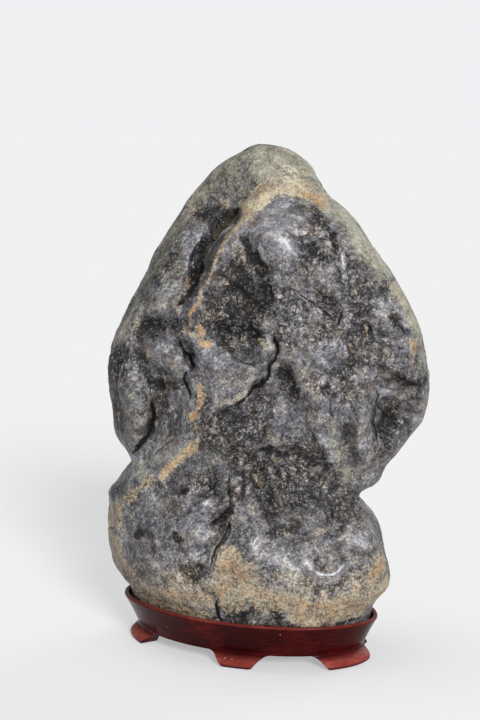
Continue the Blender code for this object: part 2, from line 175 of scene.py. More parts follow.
# %% Points and directions as arrays
def measured(mesh):
    """Each point's place in millimetres, and its direction outward."""
    found = []
    for rows, name in ((mesh.vertices, "co"), (mesh.vertex_normals, "vector")):
        flat = np.empty(len(rows) * 3, np.float32)
        rows.foreach_get(name, flat)
        found.append(flat.reshape(-1, 3).astype(float))
    return found[0] / MM, found[1]


def store(mesh, name, values):
    """Keeps one number per point, for the shader."""
    mesh.attributes.new(name, "FLOAT", "POINT").data.foreach_set("value", values.astype(np.float32))


def ease(x):
    """0 below 0, 1 above 1, and a soft S between."""
    x = np.clip(x, 0, 1)
    return x * x * (3 - 2 * x)


# %% [markdown]
# ## Cracks, pits and swells
#
# Weather opened this stone along its seams, ate pits into the soft spots, and left the hard ones proud. A
# sculptor would cut each with a brush stroke. Here each stroke is a short line of points, seen from one side
# of the stone, with a half-width and a depth. Each has a name too, so that it is easy to find and to change.

# %% Cracks on the front, as (name, half-width, depth, points) in millimetres
CRACKS = [
    ("cleft", 2, 7.5, [(-12.6, 218.8), (-17.4, 213.8), (-23.1, 206.6), (-27.3, 198.9), (-30.3, 191.1),
     (-32.7, 185.1)]),
    ("cleft_tail", 1.3, 4, [(-32.3, 186.5), (-34.7, 181.8), (-37.9, 177.5), (-42.6, 173.6)]),
    ("flake_edge", 0.8, 5, [(2.8, 161.7), (4.8, 157), (5.8, 153), (3.9, 149), (1.6, 146.3), (1.1, 142.9),
     (0.2, 139.5), (-2.7, 136.6), (-6.9, 134.7), (-8.3, 132), (-10.7, 129.3), (-14, 127.4),
     (-18.3, 126.7)]),
    ("flake_top", 0.5, 1.1, [(-21.1, 155.5), (-16.8, 153.2), (-14.5, 150.5), (-11.2, 148.2),
     (-7.4, 147.2), (-4.6, 145.9)]),
    ("slot", 0.72, 4.5, [(-41.6, 157.6), (-39.2, 153.2), (-37.4, 149.9), (-35.9, 147.1), (-35.4, 144)]),
    ("slot_low", 0.5, 2.5, [(-37.3, 144), (-39.3, 139.1), (-37.8, 133.8), (-36.4, 130.8)]),
    ("leaf_slot", 1.15, 5.5, [(-55, 126.5), (-54.4, 119.7), (-56, 112.5), (-58, 107.8), (-62.1, 102),
     (-65.3, 98.3)]),
    ("leaf_slot_top", 0.4, 1.8, [(-56.8, 138.6), (-55.8, 133.7), (-55.4, 129.7), (-55.1, 125.5)]),
    ("shoulder_split", 0.6, 2.4, [(22.7, 175.6), (25.1, 174.2), (27.4, 172.2), (29.3, 170.8),
     (30.3, 169.4), (31.7, 167.5)]),
    ("shoulder_split_2", 0.35, 0.9, [(23.6, 174.6), (25, 176), (27, 176.8)]),
    ("shoulder_groove", 0.45, 1.6, [(35.4, 174.5), (34, 169.8), (33.1, 165.2)]),
    ("notch", 0.42, 2, [(47.7, 167.6), (48.8, 164.6), (49.3, 162.3)]),
    ("notch_ring", 0.25, 0.6, [(49.3, 161.3), (50.7, 159), (49.3, 156.7), (47.4, 156.7), (47.4, 160.1)]),
    ("hollow_seam", 0.45, 3.2, [(51.2, 135.2), (53.5, 132.2), (52, 128.5), (52.3, 123.1), (50.9, 118.4),
     (52.7, 112.8), (54.1, 107.7)]),
    ("column_edge", 0.26, 0.7, [(20.9, 115.3), (24.2, 110.6), (26.3, 105.2), (27.4, 100.7)]),
    ("base_right_line", 0.26, 0.7, [(32.5, 81.5), (31.5, 76), (30.9, 70.5)]),
    ("column_split", 0.36, 1.2, [(29.6, 131.8), (30.1, 128.3), (30.6, 125.3), (31.2, 121.3)]),
    ("base_seam", 0.8, 2.8, [(-15.9, 79), (-19.3, 75.5), (-22.2, 72.3), (-25.5, 70), (-27.9, 69.2)]),
    ("waist_line", 0.36, 1, [(-17.9, 95.5), (-17.9, 90.5), (-17.9, 83.4), (-16.4, 78.5)]),
    ("base_split", 0.8, 3, [(-16.9, 72.5), (-18.8, 67.9), (-21.2, 63.3), (-23.5, 59.6), (-25, 55.4),
     (-26.9, 50.1)]),
    ("base_slit", 0.8, 2.4, [(-41.5, 82.6), (-39.6, 83.6), (-37.7, 84.6)]),
    ("neck_line", 0.3, 0.7, [(-55.6, 97.6), (-51.5, 102.5), (-46.9, 106.8), (-42.8, 110)]),
    ("foot_split", 0.72, 2, [(-23.6, 34.9), (-24.6, 30.9), (-23.6, 26.4), (-22.7, 22.8)]),
    ("base_notch", 0.4, 1, [(30.9, 71.4), (32.4, 74.3), (34.1, 77.9)]),
    ("edge_split", 0.4, 1, [(58.3, 170.1), (61.8, 166.6), (64.8, 162.1)]),
    ("edge_split_2", 0.22, 0.4, [(47.6, 178.9), (50, 178.4), (51.4, 176)]),
    ("ledge_line", 0.5, 1.8, [(61.4, 140.4), (65.6, 137.5), (70, 136), (74, 135.2)]),
    ("vein", 0.24, 0.5, [(-40.7, 129), (-41.3, 121.5), (-40.8, 114.4), (-42.3, 108.9)]),
    ("vein_2", 0.24, 0.5, [(-34.4, 141), (-33, 134.4), (-34, 128.6), (-36.4, 123.7)]),
    ("vein_3", 0.22, 0.4, [(-38.3, 128.3), (-38.3, 120.6), (-37.9, 113.7), (-39.9, 106.8)]),
    ("slab_break", 0.4, 0.8, [(-36.8, 190.3), (-36.3, 186.3), (-34.8, 182.9)]),
    ("mid_seam", 0.34, 1, [(14.3, 181.3), (18, 178.9), (20.8, 177.1), (23.2, 175.1)]),
    ("mid_hair", 0.25, 0.7, [(25.1, 168), (27, 164.7), (28.8, 161.6), (30.2, 159.4)]),
    ("mid_hair_2", 0.24, 0.6, [(18.6, 151.8), (21.5, 149.4), (23.8, 147), (26.6, 146.5)]),
    ("right_hair", 0.24, 0.6, [(35.9, 158.7), (35, 154), (36.9, 150.1)]),
    ("knob_hair", 0.24, 0.5, [(28.5, 210.2), (29.8, 207.6), (28.7, 204.6)]),
]

# %% Pits and swells on the front, as (name, half-width, depth or height, points)
PITS = [
    ("lobe_valley", 2.2, 1.6, [(-63.7, 151.4), (-60.1, 147.1), (-57.7, 142.4), (-56.3, 137.6)]),
    ("knob_groove_2", 2.6, 1.8, [(-6.1, 198.4), (-2.4, 191), (-1.4, 183.6)]),
    ("cleft_slope", 4.2, 3.4, [(-16, 215.3), (-22.7, 208.1), (-28, 200.9), (-32, 192.4)]),
    ("lip_shade", 2.6, 1.6, [(-16.3, 201), (-20.1, 192.6), (-23.9, 183), (-27.2, 175.1)]),
    ("knob_groove", 1.6, 1.2, [(-11.2, 209.1), (-10.3, 205.5), (-8.4, 201.9), (-6.1, 198.4),
     (-4.7, 194.7), (-3.3, 190.1)]),
    ("lens", 2.6, 2.2, [(22.8, 219.5), (23.2, 216.8), (23.5, 214.2)]),
    ("round_pit", 3, 3, [(21.2, 202.9), (22.5, 199.8)]),
    ("tall_pit", 1.8, 3.4, [(31.2, 208), (32, 204.6), (32.8, 201.5)]),
    ("side_pit", 1.2, 1.6, [(15.7, 207.8), (16, 203)]),
    ("side_pit_2", 1.2, 1.2, [(15.5, 199), (18.8, 198.1)]),
    ("cavity", 2, 3, [(-9.3, 162.2), (-5.1, 161.8)]),
    ("under_pit", 2.4, 3, [(-7.8, 102.9), (-6.9, 98.9), (-5.4, 94.8)]),
    ("nodule_pit", 1.4, 2, [(-0.6, 101.3), (1.7, 105.2), (5.1, 103.9), (5.1, 99.6)]),
    ("nodule_side", 1.2, 1.2, [(-16.9, 91.8), (-16.4, 88), (-16.9, 83.5)]),
    ("nodule_side_2", 1.2, 1.2, [(-12.1, 91.2), (-11.6, 87.6), (-12.1, 84.1)]),
    ("base_pit", 2, 1.6, [(-62.9, 59.3), (-61.3, 61.6)]),
    ("base_pit_2", 1.7, 1.5, [(-44.3, 64.3), (-42.3, 61.9)]),
    ("base_hollow", 3.2, 2, [(-40.5, 46.8), (-36.6, 44.9), (-32.7, 47.8)]),
    ("column_pit", 1.9, 1.6, [(26.6, 137.3), (28.1, 134.8)]),
    ("column_pit_2", 1.7, 1.5, [(30.5, 134), (32, 131.8)]),
    ("mid_pit", 2.4, 1.6, [(7.8, 141.7), (10.1, 137.6), (11.9, 133.7)]),
    ("rim_pit", 1.8, 1.4, [(60.2, 169), (63.7, 165)]),
    ("hollow_pit", 3.8, 4.2, [(58.2, 127.5), (60.6, 120)]),
    ("cross_pit", 1.8, 1.4, [(36.9, 153.9), (39.7, 154.8), (41.7, 151.9)]),
    ("lobe_pit", 1.6, 1.2, [(-54.9, 157.5), (-51, 159.5)]),
    ("dark_pit", 3, 1.8, [(-18.2, 184.6), (-14.5, 181.1)]),
    ("dark_pit_2", 2.2, 1.6, [(-2.3, 181.6), (0.5, 178)]),
    ("dark_pit_3", 2.4, 1.6, [(-8.8, 177.4), (-7, 172)]),
    ("column_hollow", 3.4, 1.8, [(-2, 90), (-0.1, 84.5), (1.8, 78.8)]),
    ("ear_pit", 1.4, 1, [(73.4, 142), (73.9, 137.1)]),
    ("base_right_pit", 1.6, 1.2, [(16, 71.5), (18.8, 69)]),
]
SWELLS = [
    ("glossy_rib", 1.6, 1.1, [(34.6, 200.6), (35, 194.8), (35.9, 188.9), (36.5, 183.1)]),
    ("bowl_lip", 3, 1.5, [(18.6, 62), (18.1, 58.8), (19, 55.4), (21.3, 51.8), (25.1, 48.9), (29.4, 48.4),
     (33.7, 50), (36.6, 52.9)]),
    ("base_glint", 1.8, 1, [(-4.5, 69.4), (-5, 65.5), (-6.4, 62.2)]),
    ("base_glint_2", 2, 0.9, [(39.5, 68), (43.3, 64.1), (47.1, 59.3)]),
    ("flank_rib", 1.6, 0.8, [(41.6, 80.6), (45.2, 75.3), (48.4, 70.4)]),
    ("cheek", 4.5, 1.5, [(-50.7, 153.7), (-46.7, 149.4)]),
    ("tan_nodule", 1.8, 1.4, [(2.2, 102), (3.2, 100.5)]),
    ("pale_nodule", 1.9, 1.5, [(-14.5, 90.1), (-14, 86.1)]),
    ("round_nodule", 3.2, 1.4, [(3, 115.9), (4.5, 113.4)]),
    ("curl_nodule", 1.6, 1, [(-4.9, 93.3), (-4, 90.3)]),
    ("knob_face", 8, 1.8, [(4.6, 209.6), (5.9, 205.2)]),
    ("hollow_glint", 2.6, 1.6, [(55.5, 133.4), (58, 131.7)]),
    ("lamination", 1, 0.45, [(-36.4, 141.6), (-34.9, 135.9), (-35.4, 129.5), (-37.3, 123.6),
     (-37.4, 117.2), (-38.4, 109.8)]),
    ("lamination_2", 1, 0.4, [(-39.8, 136.6), (-38.8, 130.1), (-39.8, 123.4), (-39.3, 115.6),
     (-40.8, 107.7)]),
    ("cleft_lip", 2, 0.9, [(-2.1, 224.8), (-9.3, 220.4), (-16.4, 212.4), (-23, 204), (-26.7, 196),
     (-30.1, 186.3), (-34.4, 177.8), (-37.2, 172.2)]),
    ("bowl_mound", 2.4, 0.8, [(24.4, 58.1), (28.1, 56.3)]),
    ("lobe_crest", 2.4, 1.2, [(-55.8, 169.9), (-49.8, 172.8), (-43.1, 175.2), (-37.4, 177.6)]),
]

# %% Strokes on the other three sides
BACK_CRACKS = [
    ("back_seam", 0.8, 3.4, [(34, 208), (31, 197), (33, 186), (28, 176), (30, 163), (25, 152), (26, 141)]),
    ("back_fork", 0.4, 1.6, [(30, 181), (22, 176), (17, 169), (15, 160)]),
    ("back_split", 0.7, 3.0, [(-36, 150), (-33, 141), (-35, 131), (-30, 121), (-31, 110), (-27, 101)]),
    ("back_low", 0.5, 1.8, [(-34, 64), (-25, 59), (-14, 58), (-6, 54)]),
    ("back_vein", 0.3, 0.8, [(-6, 226), (-10, 214), (-9, 203), (-14, 190), (-13, 181)]),
    ("back_hair", 0.25, 0.6, [(12, 130), (7, 121), (8, 110), (3, 100)]),
    ("back_toe", 0.35, 1.0, [(16, 50), (14, 42), (16, 33)]),
]
LEFT_CRACKS = [
    ("left_seam", 0.7, 2.4, [(2, 160), (6, 150), (5, 138), (10, 127), (9, 116)]),
    ("left_low", 0.4, 1.4, [(-6, 66), (0, 60), (8, 58), (14, 52)]),
]
RIGHT_CRACKS = [
    ("right_seam", 0.7, 2.4, [(-4, 178), (-1, 167), (-3, 156), (2, 146), (1, 134)]),
    ("right_low", 0.4, 1.4, [(-10, 74), (-3, 69), (4, 70), (10, 64)]),
]

# %% Soft hollows on the other three sides
BACK_PITS = [
    ("back_bowl", 9.0, 4.0, [(8, 188), (2, 172)]), ("back_waist", 9.0, 3.5, [(-22, 88), (4, 82)]),
    ("back_shoulder", 6.0, 3.5, [(-34, 182), (-40, 166)]), ("back_cheek", 7.0, 3.5, [(34, 118), (28, 102)]),
    ("back_hip", 6.0, 2.5, [(22, 46), (32, 52)]), ("back_eye", 2.4, 3.5, [(-12, 150), (-9, 146)]),
    ("back_eye_2", 1.8, 2.6, [(14, 214), (16, 210)]), ("back_eye_3", 2.0, 2.6, [(-40, 48), (-37, 44)]),
    ("back_pool", 5.0, 2.6, [(-8, 126), (0, 118)]), ("back_nape", 5.0, 2.4, [(-14, 212), (-18, 200)]),
]
LEFT_PITS = [
    ("left_palm", 6.0, 2.6, [(14, 148), (18, 132)]), ("left_hip", 6.0, 2.4, [(-4, 74), (8, 68)]),
    ("left_eye", 1.8, 2.4, [(10, 176), (12, 172)]), ("left_brow", 5.0, 2.0, [(6, 196), (10, 188)]),
]
RIGHT_PITS = [
    ("right_palm", 6.0, 2.6, [(10, 158), (16, 142)]), ("right_hip", 6.0, 2.4, [(2, 60), (12, 54)]),
    ("right_eye", 1.8, 2.4, [(8, 120), (10, 116)]), ("right_brow", 5.0, 2.0, [(0, 200), (4, 190)]),
]
print(len(CRACKS), "cracks,", len(PITS), "pits and", len(SWELLS), "swells on the front")

# %% How a stroke finds the points near it
SIDES = {"front": (0, -1), "back": (0, 1), "left": (1, -1), "right": (1, 1)}


def seen_from(side, places, outward):
    """Each point's (across, up) as that side shows it, and how squarely it faces that side, from 0 to 1."""
    across, sign = SIDES[side]
    return places[:, [across, 2]], ease((outward[:, 1 - across] * sign - 0.05) / 0.4)


def nearest_on(line, spots):
    """For each spot: distance from the line, share of the way along it, and +1 or -1 for the side it is on."""
    line = np.array(line if len(line) > 1 else [line[0], (line[0][0] + 0.1, line[0][1])], float)
    steps = np.linalg.norm(np.diff(line, axis=0), axis=1)
    gone = np.concatenate([[0], np.cumsum(steps)])
    nearest = np.full(len(spots), 1e9)
    share = np.zeros(len(spots))
    side = np.ones(len(spots))
    for start, end, step, before in zip(line[:-1], line[1:], steps, gone):
        run = end - start
        part = np.clip((spots - start) @ run / step**2, 0, 1)
        off = spots - start - part[:, None] * run
        far = np.hypot(off[:, 0], off[:, 1])
        closer = far < nearest
        nearest[closer] = far[closer]
        share[closer] = ((before + part * step) / gone[-1])[closer]
        side[closer] = np.sign(run[0] * off[:, 1] - run[1] * off[:, 0])[closer]
    return nearest, share, side


def near_line(line, spots, reach):
    """Which spots lie in the line's box, widened by reach."""
    low = np.min(line, axis=0) - reach
    high = np.max(line, axis=0) + reach
    return np.where(((spots > low) & (spots < high)).all(axis=1))[0]


# %% Natural unevenness, from Blender's own noise
def noise_at(places, size, seed, octaves=4):
    """Soft lumps about `size` millimetres across: one value from -1 to 1 for each place."""
    shifted = places / size + np.array([seed * 7.3, seed * 3.1, seed * 5.7])
    return np.array([noise.fractal(Vector(p), 0.9, 2.0, octaves) for p in shifted])


def noises_at(places, size, seeds, octaves):
    """The same for several seeds, side by side."""
    return np.stack([noise_at(places, size, seed, octaves) for seed in seeds], axis=1)


def chips_at(places, size, seed):
    """Scoops about `size` millimetres across with sharp ridges between them: 0 on the ridges, down to -1."""
    shifted = places / size + np.array([seed * 2.9, seed * 6.1, seed * 4.3])
    return np.array([noise.voronoi(Vector(p))[0][0] for p in shifted]) * 1.2 - 1


def cracks_over(places, outward, waver, reach, widths, least_facing):
    """For each crack: half-width, depth, the points near it, how squarely they face that side, how far off and
    to which side they lie, and how much of the crack is left there. Near is within reach and so many widths."""
    wander = noises_at(places, 16.0, (14, 15), 3) * 3.5
    for side, rows in ALL_CRACKS.items():
        spots, facing = seen_from(side, places, outward)
        spots = spots + waver * 0.8 + (0 if side == "front" else wander)
        for _, half_width, depth, line in rows:
            found = near_line(line, spots, reach + widths * half_width)
            found = found[facing[found] > least_facing]
            far, share, which = nearest_on(line, spots[found])
            taper = ease(share / 0.15) * ease((1 - share) / 0.15)
            yield half_width, depth, found, facing[found], far, which, taper


# %% Cut the cracks
ALL_CRACKS = {"front": CRACKS, "back": BACK_CRACKS, "left": LEFT_CRACKS, "right": RIGHT_CRACKS}
places, outward = measured(stone.data)
waver = noises_at(places, 5.0, (1, 2), 2)
widening = 1 + 0.5 * noise_at(places, 4.0, 13, 2)
push = np.zeros(len(places))
for half_width, depth, found, square, far, _, taper in cracks_over(places, outward, waver, 0, 3, -1):
    reach = 1.35 * half_width * (0.3 + 0.7 * taper) * widening[found]
    cut = np.clip(1 - far / reach, 0, 1) ** 0.8
    push[found] = np.minimum(push[found], -depth * (0.2 + 0.8 * taper) * cut * square)

# %% Press the hollows and raise the swells
hollows = {"front": PITS, "back": BACK_PITS, "left": LEFT_PITS, "right": RIGHT_PITS}
for side, rows in hollows.items():
    spots, facing = seen_from(side, places, outward)
    for _, half_width, depth, line in rows:
        found = near_line(line, spots, 2 * half_width)
        far, _, _ = nearest_on(line, spots[found] + waver[found] * 1.6)
        push[found] -= 0.6 * depth * ease(1.5 - far / half_width) * facing[found]
spots, facing = seen_from("front", places, outward)
for _, half_width, height, line in SWELLS:
    found = near_line(line, spots, 2.5 * half_width)
    far, _, _ = nearest_on(line, spots[found] + waver[found])
    push[found] += height * ease(1.0 - far / (2 * half_width)) * facing[found]
print("deepest cut %.1f mm, highest swell %.1f mm" % (-push.min(), push.max()))

# %% [markdown]
# ## Worn skin and rough hollows
#
# Hands and water polish what stands proud, so the summit and the shoulders are smooth, and the hollows keep
# their broken surface. Two kinds of unevenness make it: soft lumps of a few millimetres, and chips, which are
# scoops with sharp ridges between them, where the stone broke. Both are stronger where the skin isn't worn.

# %% Worn skin on the front, as (name, strength, half-width, points)
SKIN = [
    ("summit", 0.95, 5.5, [(-2, 244.3), (6.7, 244.3), (14.3, 241), (19, 234.5), (21.8, 228)]),
    ("summit_left", 0.7, 3.7, [(-12.6, 243.8), (-19.4, 238), (-28.2, 229.1), (-34.7, 220.8)]),
    ("neck_skin", 0.45, 4.6, [(-62.7, 90.8), (-55.6, 95.9), (-48.3, 101), (-42.3, 106.1)]),
    ("slab_low", 0.35, 4.6, [(-57.2, 177.5), (-48.7, 182), (-41.5, 186.7)]),
    ("left_skin", 0.4, 3.7, [(-70.3, 159.4), (-65, 166), (-58.1, 174.8)]),
    ("waist_skin", 0.3, 4.6, [(-28, 94.9), (-24.1, 102.9), (-15, 110.9)]),
    ("summit_mid", 0.85, 3.7, [(-5.9, 238.2), (-0.1, 236.9), (4.6, 234.5)]),
    ("slab_skin", 0.5, 6.4, [(-7.8, 239.6), (-12.6, 233.4), (-19.9, 228.4), (-7.8, 230.2)]),
    ("slab_skin_2", 0.4, 5.5, [(-24.8, 224.4), (-13.6, 223.8)]),
    ("left_edge", 0.55, 3.2, [(-39.1, 214.4), (-45.9, 204.8), (-52.7, 192.4), (-60.3, 179.8),
     (-67.9, 167.3), (-73, 156.6)]),
    ("right_edge", 0.85, 3.7, [(26.4, 223.4), (33.8, 217.9), (40.1, 210.8), (47.4, 200.8), (55, 190.5)]),
    ("right_edge_2", 0.75, 3.2, [(60.9, 182.7), (66, 175.8), (70, 167.1), (73.3, 157.1)]),
    ("right_edge_3", 0.5, 2.3, [(75.2, 149.5), (75.6, 141.6)]),
    ("spur_lip", 0.6, 1.8, [(-2.1, 232.6), (-4.9, 227), (-9.7, 221.7), (-15.5, 214.6)]),
    ("right_slope", 0.45, 4.1, [(34.3, 212.3), (41.6, 203.3), (48.1, 195.5)]),
    ("leaf", 0.3, 4.1, [(-68.1, 134.5), (-65.7, 122.5), (-63.7, 109.5)]),
    ("base_edge", 0.35, 2.8, [(54, 58.2), (57.1, 50.5)]),
    ("column_skin", 0.42, 4.1, [(29.8, 119), (34, 105.7), (37.7, 92.9)]),
]

# %% Knobs and ridges that hands have polished
POLISH = [
    ("knob", 1, 6, [(1.8, 208.7), (7.3, 205.7)]),
    ("knob_top", 0.5, 5.1, [(-0.4, 216.4), (9, 217.3)]),
    ("bowl_rim", 1, 1.6, [(18.6, 62), (18.1, 58.8), (19, 55.4), (21.3, 51.8), (25.1, 48.9), (29.4, 48.4),
     (33.7, 50), (36.6, 52.9)]),
    ("base_glint", 0.9, 1.5, [(-4.5, 69.4), (-5, 65.5), (-6.4, 62.2)]),
    ("base_glint_2", 0.9, 1.8, [(39.5, 68), (43.3, 64.1), (47.1, 59.3)]),
    ("rib", 0.95, 1.4, [(34.6, 200.6), (35, 194.8), (35.9, 188.9), (36.5, 183.1)]),
    ("rib_2", 0.7, 1.4, [(34.3, 180.3), (35.3, 176.9)]),
    ("neck_polish", 0.3, 4.1, [(-56.6, 92.9), (-46.3, 103)]),
    ("hollow_glint", 0.9, 2.1, [(55.5, 133.4), (58, 131.7)]),
    ("slab_glint", 0.3, 3.7, [(-36.9, 205.8), (-35.8, 196.6)]),
    ("base_shoulder", 0.45, 4.6, [(11.1, 62), (15.7, 55.9)]),
    ("left_base", 0.3, 5.5, [(-36.5, 67), (-32.7, 58.5)]),
]

# %% Broken patches, where the stone came away in nodules
ROUGH = [
    ("middle", 1, 6.4, [(-2.3, 175.1), (8.3, 177.4), (15.3, 169.9), (8.4, 161.7)]),
    ("middle_2", 1, 5.5, [(23.6, 178.5), (29.3, 169.8), (25.5, 159.8)]),
    ("shoulder", 0.9, 6.4, [(35.9, 196.2), (39.3, 185.4), (43.4, 173.4)]),
    ("right", 0.9, 6, [(38.7, 164.2), (49.3, 159.9), (59, 153.9)]),
    ("knob_side", 0.9, 5.5, [(16.2, 208.2), (23.8, 210.2), (26.8, 201.5), (20.6, 196.3)]),
    ("hollow", 0.8, 7.4, [(-16.3, 184.7), (-10.3, 172.7), (-19.7, 165.4)]),
    ("nodules", 1, 6.4, [(-13.6, 103.2), (-7.8, 93), (-2.1, 85.6), (-12.6, 85.8)]),
    ("waist", 0.8, 6.4, [(-29.2, 115.4), (-19.7, 110.7), (-7.9, 118.1)]),
    ("lobe", 0.8, 4.6, [(-72.3, 148.8), (-69.8, 138.9), (-60.6, 146.2)]),
    ("column", 0.85, 6.4, [(2.8, 94.6), (14.2, 101.1), (11.3, 81), (21.9, 86.7)]),
    ("column_top", 0.8, 5.5, [(24.7, 138.7), (36.6, 144.3), (40.2, 132.9)]),
    ("low_right", 0.7, 5.5, [(38.1, 79.5), (42.7, 70.7), (32.8, 69.7)]),
    ("low_left", 0.6, 5.5, [(-41.5, 82.2), (-29.5, 89.3), (-24.6, 80.8)]),
    ("slab", 0.4, 5.5, [(-46.2, 182.7), (-39.1, 189.5)]),
    ("foot", 0.5, 5.5, [(-36.6, 45.4), (-24.5, 39.4)]),
]


# %% Painting along lines
def painted(rows, spots, facing, blur):
    """The strongest stroke at each spot, from 0 to 1, with soft and uneven edges."""
    paint = np.zeros(len(spots))
    for _, strength, half_width, line in rows:
        found = near_line(line, spots, 2 * half_width + 2)
        far, _, _ = nearest_on(line, spots[found] + blur[found])
        paint[found] = np.maximum(paint[found], strength * ease(1.5 - far / half_width) * facing[found])
    return paint


def blurred(mesh, values, rounds):
    """Values averaged over the mesh's edges, again and again."""
    ends = np.empty(len(mesh.edges) * 2, np.int32)
    mesh.edges.foreach_get("vertices", ends)
    first, second = ends.reshape(-1, 2).T
    count = np.bincount(ends, minlength=len(values)).astype(float)
    for _ in range(rounds):
        total = np.stack([np.bincount(first, column[second], len(values)) +
                          np.bincount(second, column[first], len(values)) for column in values.T], axis=1)
        values = (values + total) / (1 + count)[:, None]
    return values


# %% Break up the surface
ragged = noises_at(places, 9.0, (3, 4), 3) * 2.5
worn = np.maximum(painted(SKIN, spots, facing, ragged), painted(POLISH, spots, facing, ragged * 0.3))
elsewhere = 1 - facing
broad = ((blurred(stone.data, places, 70) - places) * outward).sum(axis=1)
in_hollow = ease(0.35 + 0.3 * broad + 0.35 * noise_at(places, 30.0, 5, 2))
worn = np.maximum(worn, elsewhere * (1 - in_hollow))
broken = painted(ROUGH, spots, facing, ragged)
broken = np.maximum(broken, elsewhere * ease(1.4 * noise_at(places, 34.0, 16, 2) - 0.1))
rough = (1 - 0.95 * worn) * (0.36 + 0.64 * np.maximum(in_hollow * (1 - 0.6 * facing), broken))
twisted = places + noises_at(places, 7.0, (20, 21, 22), 2) * 2.0
push += noise_at(places, 11.0, 6, 3) * 0.8 * (0.2 + 0.8 * rough)
push += chips_at(twisted, 8.0, 8) * 1.1 * rough
push += chips_at(twisted, 5.4, 17) * 1.3 * broken
push += chips_at(twisted, 3.6, 9) * 0.95 * (0.1 + 0.9 * rough)
push += noise_at(places, 2.4, 7, 2) * 0.4 * (0.2 + 0.8 * rough)
held = ease((places[:, 2] - 18.0) / 8.0)
stone_places = places + outward * (push * held)[:, None]
stone.data.vertices.foreach_set("co", (stone_places * MM).astype(np.float32).ravel())
stone.data.update()
print("broken surface: %.2f mm of relief on average" % np.abs(push).mean())

# %% Fewer faces where the stone is plain
thinned = stone.modifiers.new("thinned", "DECIMATE")
thinned.ratio = STONE_QUADS / len(stone.data.polygons)
apply_modifiers(stone)
stone.data.shade_smooth()
print("finished stone:", len(stone.data.vertices), "points,", len(stone.data.polygons), "faces")
